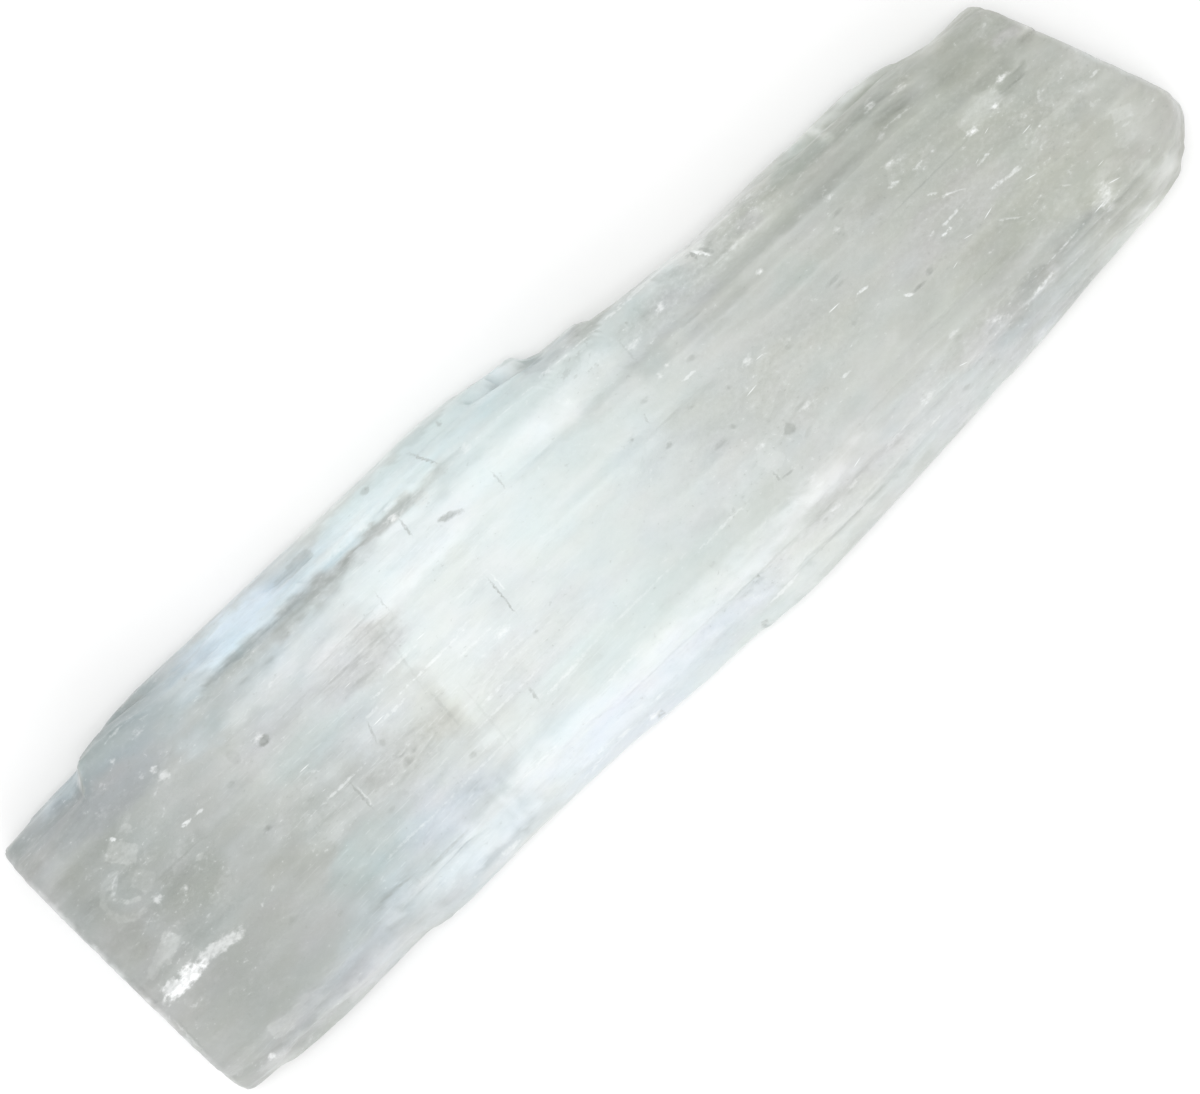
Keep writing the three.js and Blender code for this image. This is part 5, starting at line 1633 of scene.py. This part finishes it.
    def _lines(self, wire: Wiring, place: Socket, crumb: Socket, kind: MarkKind) -> Socket:
        """Shows where the marks of one kind of thin line are.

        Args:
            wire: writes the nodes.
            place: the place, in millimetres.
            crumb: the noise of the crumbs, which makes the lines stray.
            kind: which lines to show.

        Returns:
            A mask of them.
        """
        ragged = wire.math("MULTIPLY", wire.centred(crumb), MARK_LOOKS[kind].ragged)
        strayed = wire.node("ShaderNodeCombineXYZ", ragged, wire.math("MULTIPLY", ragged, 0.5))
        where = wire.vector("ADD", place, strayed.outputs[0])
        total: Term = 0.0
        for mark in (m for m in self.marks if m.kind is kind):
            mapping = wire.node("ShaderNodeMapping", where, vector_type="TEXTURE")
            mapping.inputs["Location"].default_value = (mark.x, mark.y, LINES_AT)
            mapping.inputs["Rotation"].default_value = (0, 0, math.radians(mark.turn))
            mapping.inputs["Scale"].default_value = (mark.length / 2, mark.width / 2, LINES_WITHIN)
            away = wire.vector("LENGTH", mapping.outputs[0])
            total = wire.math("MAXIMUM", total, wire.fade(away, 1.3, 0.6, 0, mark.strength))
        return total

    def _bump(self, wire: Wiring, hair: Socket, crumb: Socket) -> Socket:
        """Raises the finest fibres and crumbs, which the mesh is too coarse to hold.

        Args:
            wire: writes the nodes.
            hair: the noise of the finest fibres.
            crumb: the noise of the crumbs.

        Returns:
            The surface's direction.
        """
        bump = wire.node("ShaderNodeBump")
        wire.put(bump.inputs["Height"], wire.math("MULTIPLY_ADD", hair, 0.3, crumb))
        bump.inputs["Strength"].default_value = 1.0
        bump.inputs["Distance"].default_value = self.bump
        return bump.outputs["Normal"]


@dataclass(frozen=True)
class PaleFloor:
    """The finish of the floor: plain, pale and matt.

    Attributes:
        name: what the finish is called.
        colour: its colour.
        rough: how matt it is, from 0 to 1.
        shine: how strongly it shines, from 0 to 1.
    """

    name: str = "pale_floor"
    colour: Colour = (0.93, 0.93, 0.93, 1)
    rough: float = 0.9
    shine: float = 0.1

    def material(self) -> bpy.types.Material:
        """Makes the material.

        Returns:
            The finished material.
        """
        made = bpy.data.materials.new(self.name)
        made.use_nodes = True
        shader = made.node_tree.nodes["Principled BSDF"]
        shader.inputs["Base Color"].default_value = self.colour
        shader.inputs["Roughness"].default_value = self.rough
        shader.inputs["Specular IOR Level"].default_value = self.shine
        return made


# ---- the studio -------------------------------------------------------------------------------------


@dataclass(frozen=True)
class SoftBox:
    """A soft rectangular light that faces the slab.

    Attributes:
        name: what the light is called.
        place: where it hangs, in metres.
        size: its two sides, in metres; the first runs across the fibres.
        watts: its power.
    """

    name: str
    place: Triple
    size: Span
    watts: float

    def hang(self) -> None:
        """Makes the light and turns it to the slab."""
        data = bpy.data.lights.new(self.name, "AREA")
        data.shape = "RECTANGLE"
        data.size, data.size_y = self.size
        data.energy = self.watts
        lamp = bpy.data.objects.new(self.name, data)
        lamp.location = self.place
        lamp.rotation_euler = Vector(self.place).to_track_quat("Z", "Y").to_euler()
        bpy.context.scene.collection.objects.link(lamp)


@dataclass(frozen=True)
class Studio:
    """A pale floor, a pale sky and soft lights.

    Attributes:
        floor_size: width of the floor, in metres.
        floor_steps: how many faces run along each side of it.
        sky: how bright the white sky is.
        lights: the lights.
    """

    floor_size: float = 3.0
    floor_steps: int = 8
    sky_and_reflection: float = 0.86
    lights: tuple[SoftBox, ...] = (
        SoftBox("key_light", (-0.055, 0.0, 1.0), (0.42, 0.3), 2.8),
        SoftBox("window", (-0.15, -1.0, 0.8), (1.2, 1.0), 2.4),
    )

    def build(self) -> bpy.types.Object:
        """Makes the floor, the sky and the lights.

        Returns:
            The floor.
        """
        mesh = bmesh.new()
        steps = {"x_segments": self.floor_steps, "y_segments": self.floor_steps}
        bmesh.ops.create_grid(mesh, size=self.floor_size / 2, **steps)
        data = bpy.data.meshes.new("floor")
        mesh.to_mesh(data)
        mesh.free()
        floor = bpy.data.objects.new("floor", data)
        bpy.context.scene.collection.objects.link(floor)
        data.materials.append(PaleFloor().material())
        world = bpy.data.worlds.new("pale_sky")
        world.use_nodes = True
        background = world.node_tree.nodes["Background"]
        background.inputs["Color"].default_value = (1, 1, 1, 1)
        background.inputs["Strength"].default_value = self.sky_and_reflection
        bpy.context.scene.world = world
        for light in self.lights:
            light.hang()
        bpy.context.scene.view_settings.view_transform = "Standard"
        return floor


@dataclass(frozen=True)
class Portrait:
    """The camera, looking straight down on the slab.

    Attributes:
        height: height of the lens above the floor, in metres.
        lean: how far the fibres rise from the picture's lower edge, in degrees.
        shift_right: how far the slab's middle lies right of the picture's, in metres.
        shift_up: how far it lies above it, in metres.
        width: width of the floor that the picture takes in, in metres.
        sensor: width of the camera's sensor, in millimetres.
        sees: the nearest and the farthest that it sees, in metres.
    """

    height: float = 0.6
    lean: float = 43.5
    shift_right: float = 2.3 * MM
    shift_up: float = 6.1 * MM
    width: float = 177.5 * MM
    sensor: float = 36
    sees: Span = (0.01, 10)

    def build(self) -> None:
        """Makes the camera and chooses it for the scene."""
        data = bpy.data.cameras.new("portrait_camera")
        data.sensor_width = self.sensor
        data.lens = self.sensor * self.height / self.width
        data.clip_start, data.clip_end = self.sees
        camera = bpy.data.objects.new("portrait_camera", data)
        angle = math.radians(self.lean)
        right = Vector((math.cos(angle), -math.sin(angle), 0))
        up = Vector((math.sin(angle), math.cos(angle), 0))
        camera.location = Vector((0, 0, self.height)) - right * self.shift_right - up * self.shift_up
        camera.rotation_euler = (0, 0, -angle)
        bpy.context.scene.collection.objects.link(camera)
        bpy.context.scene.camera = camera


def main() -> None:
    """Builds the slab, the studio and the portrait."""
    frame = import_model()

    skin = SlabSkin().build(frame["nodes"]["selenite_slab"])
    skin.data.materials.append(SatinSpar().material())
    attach(skin, "root")
    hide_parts("selenite_slab")
    LOG.info("%s: %d faces", skin.name, len(skin.data.polygons))

    floor = Studio().build()
    LOG.info("%s: %.1f m wide", floor.name, floor.dimensions.x)

    Portrait().build()


if __name__ == "__main__":
    logging.basicConfig(level=logging.INFO, format="%(message)s")
    main()
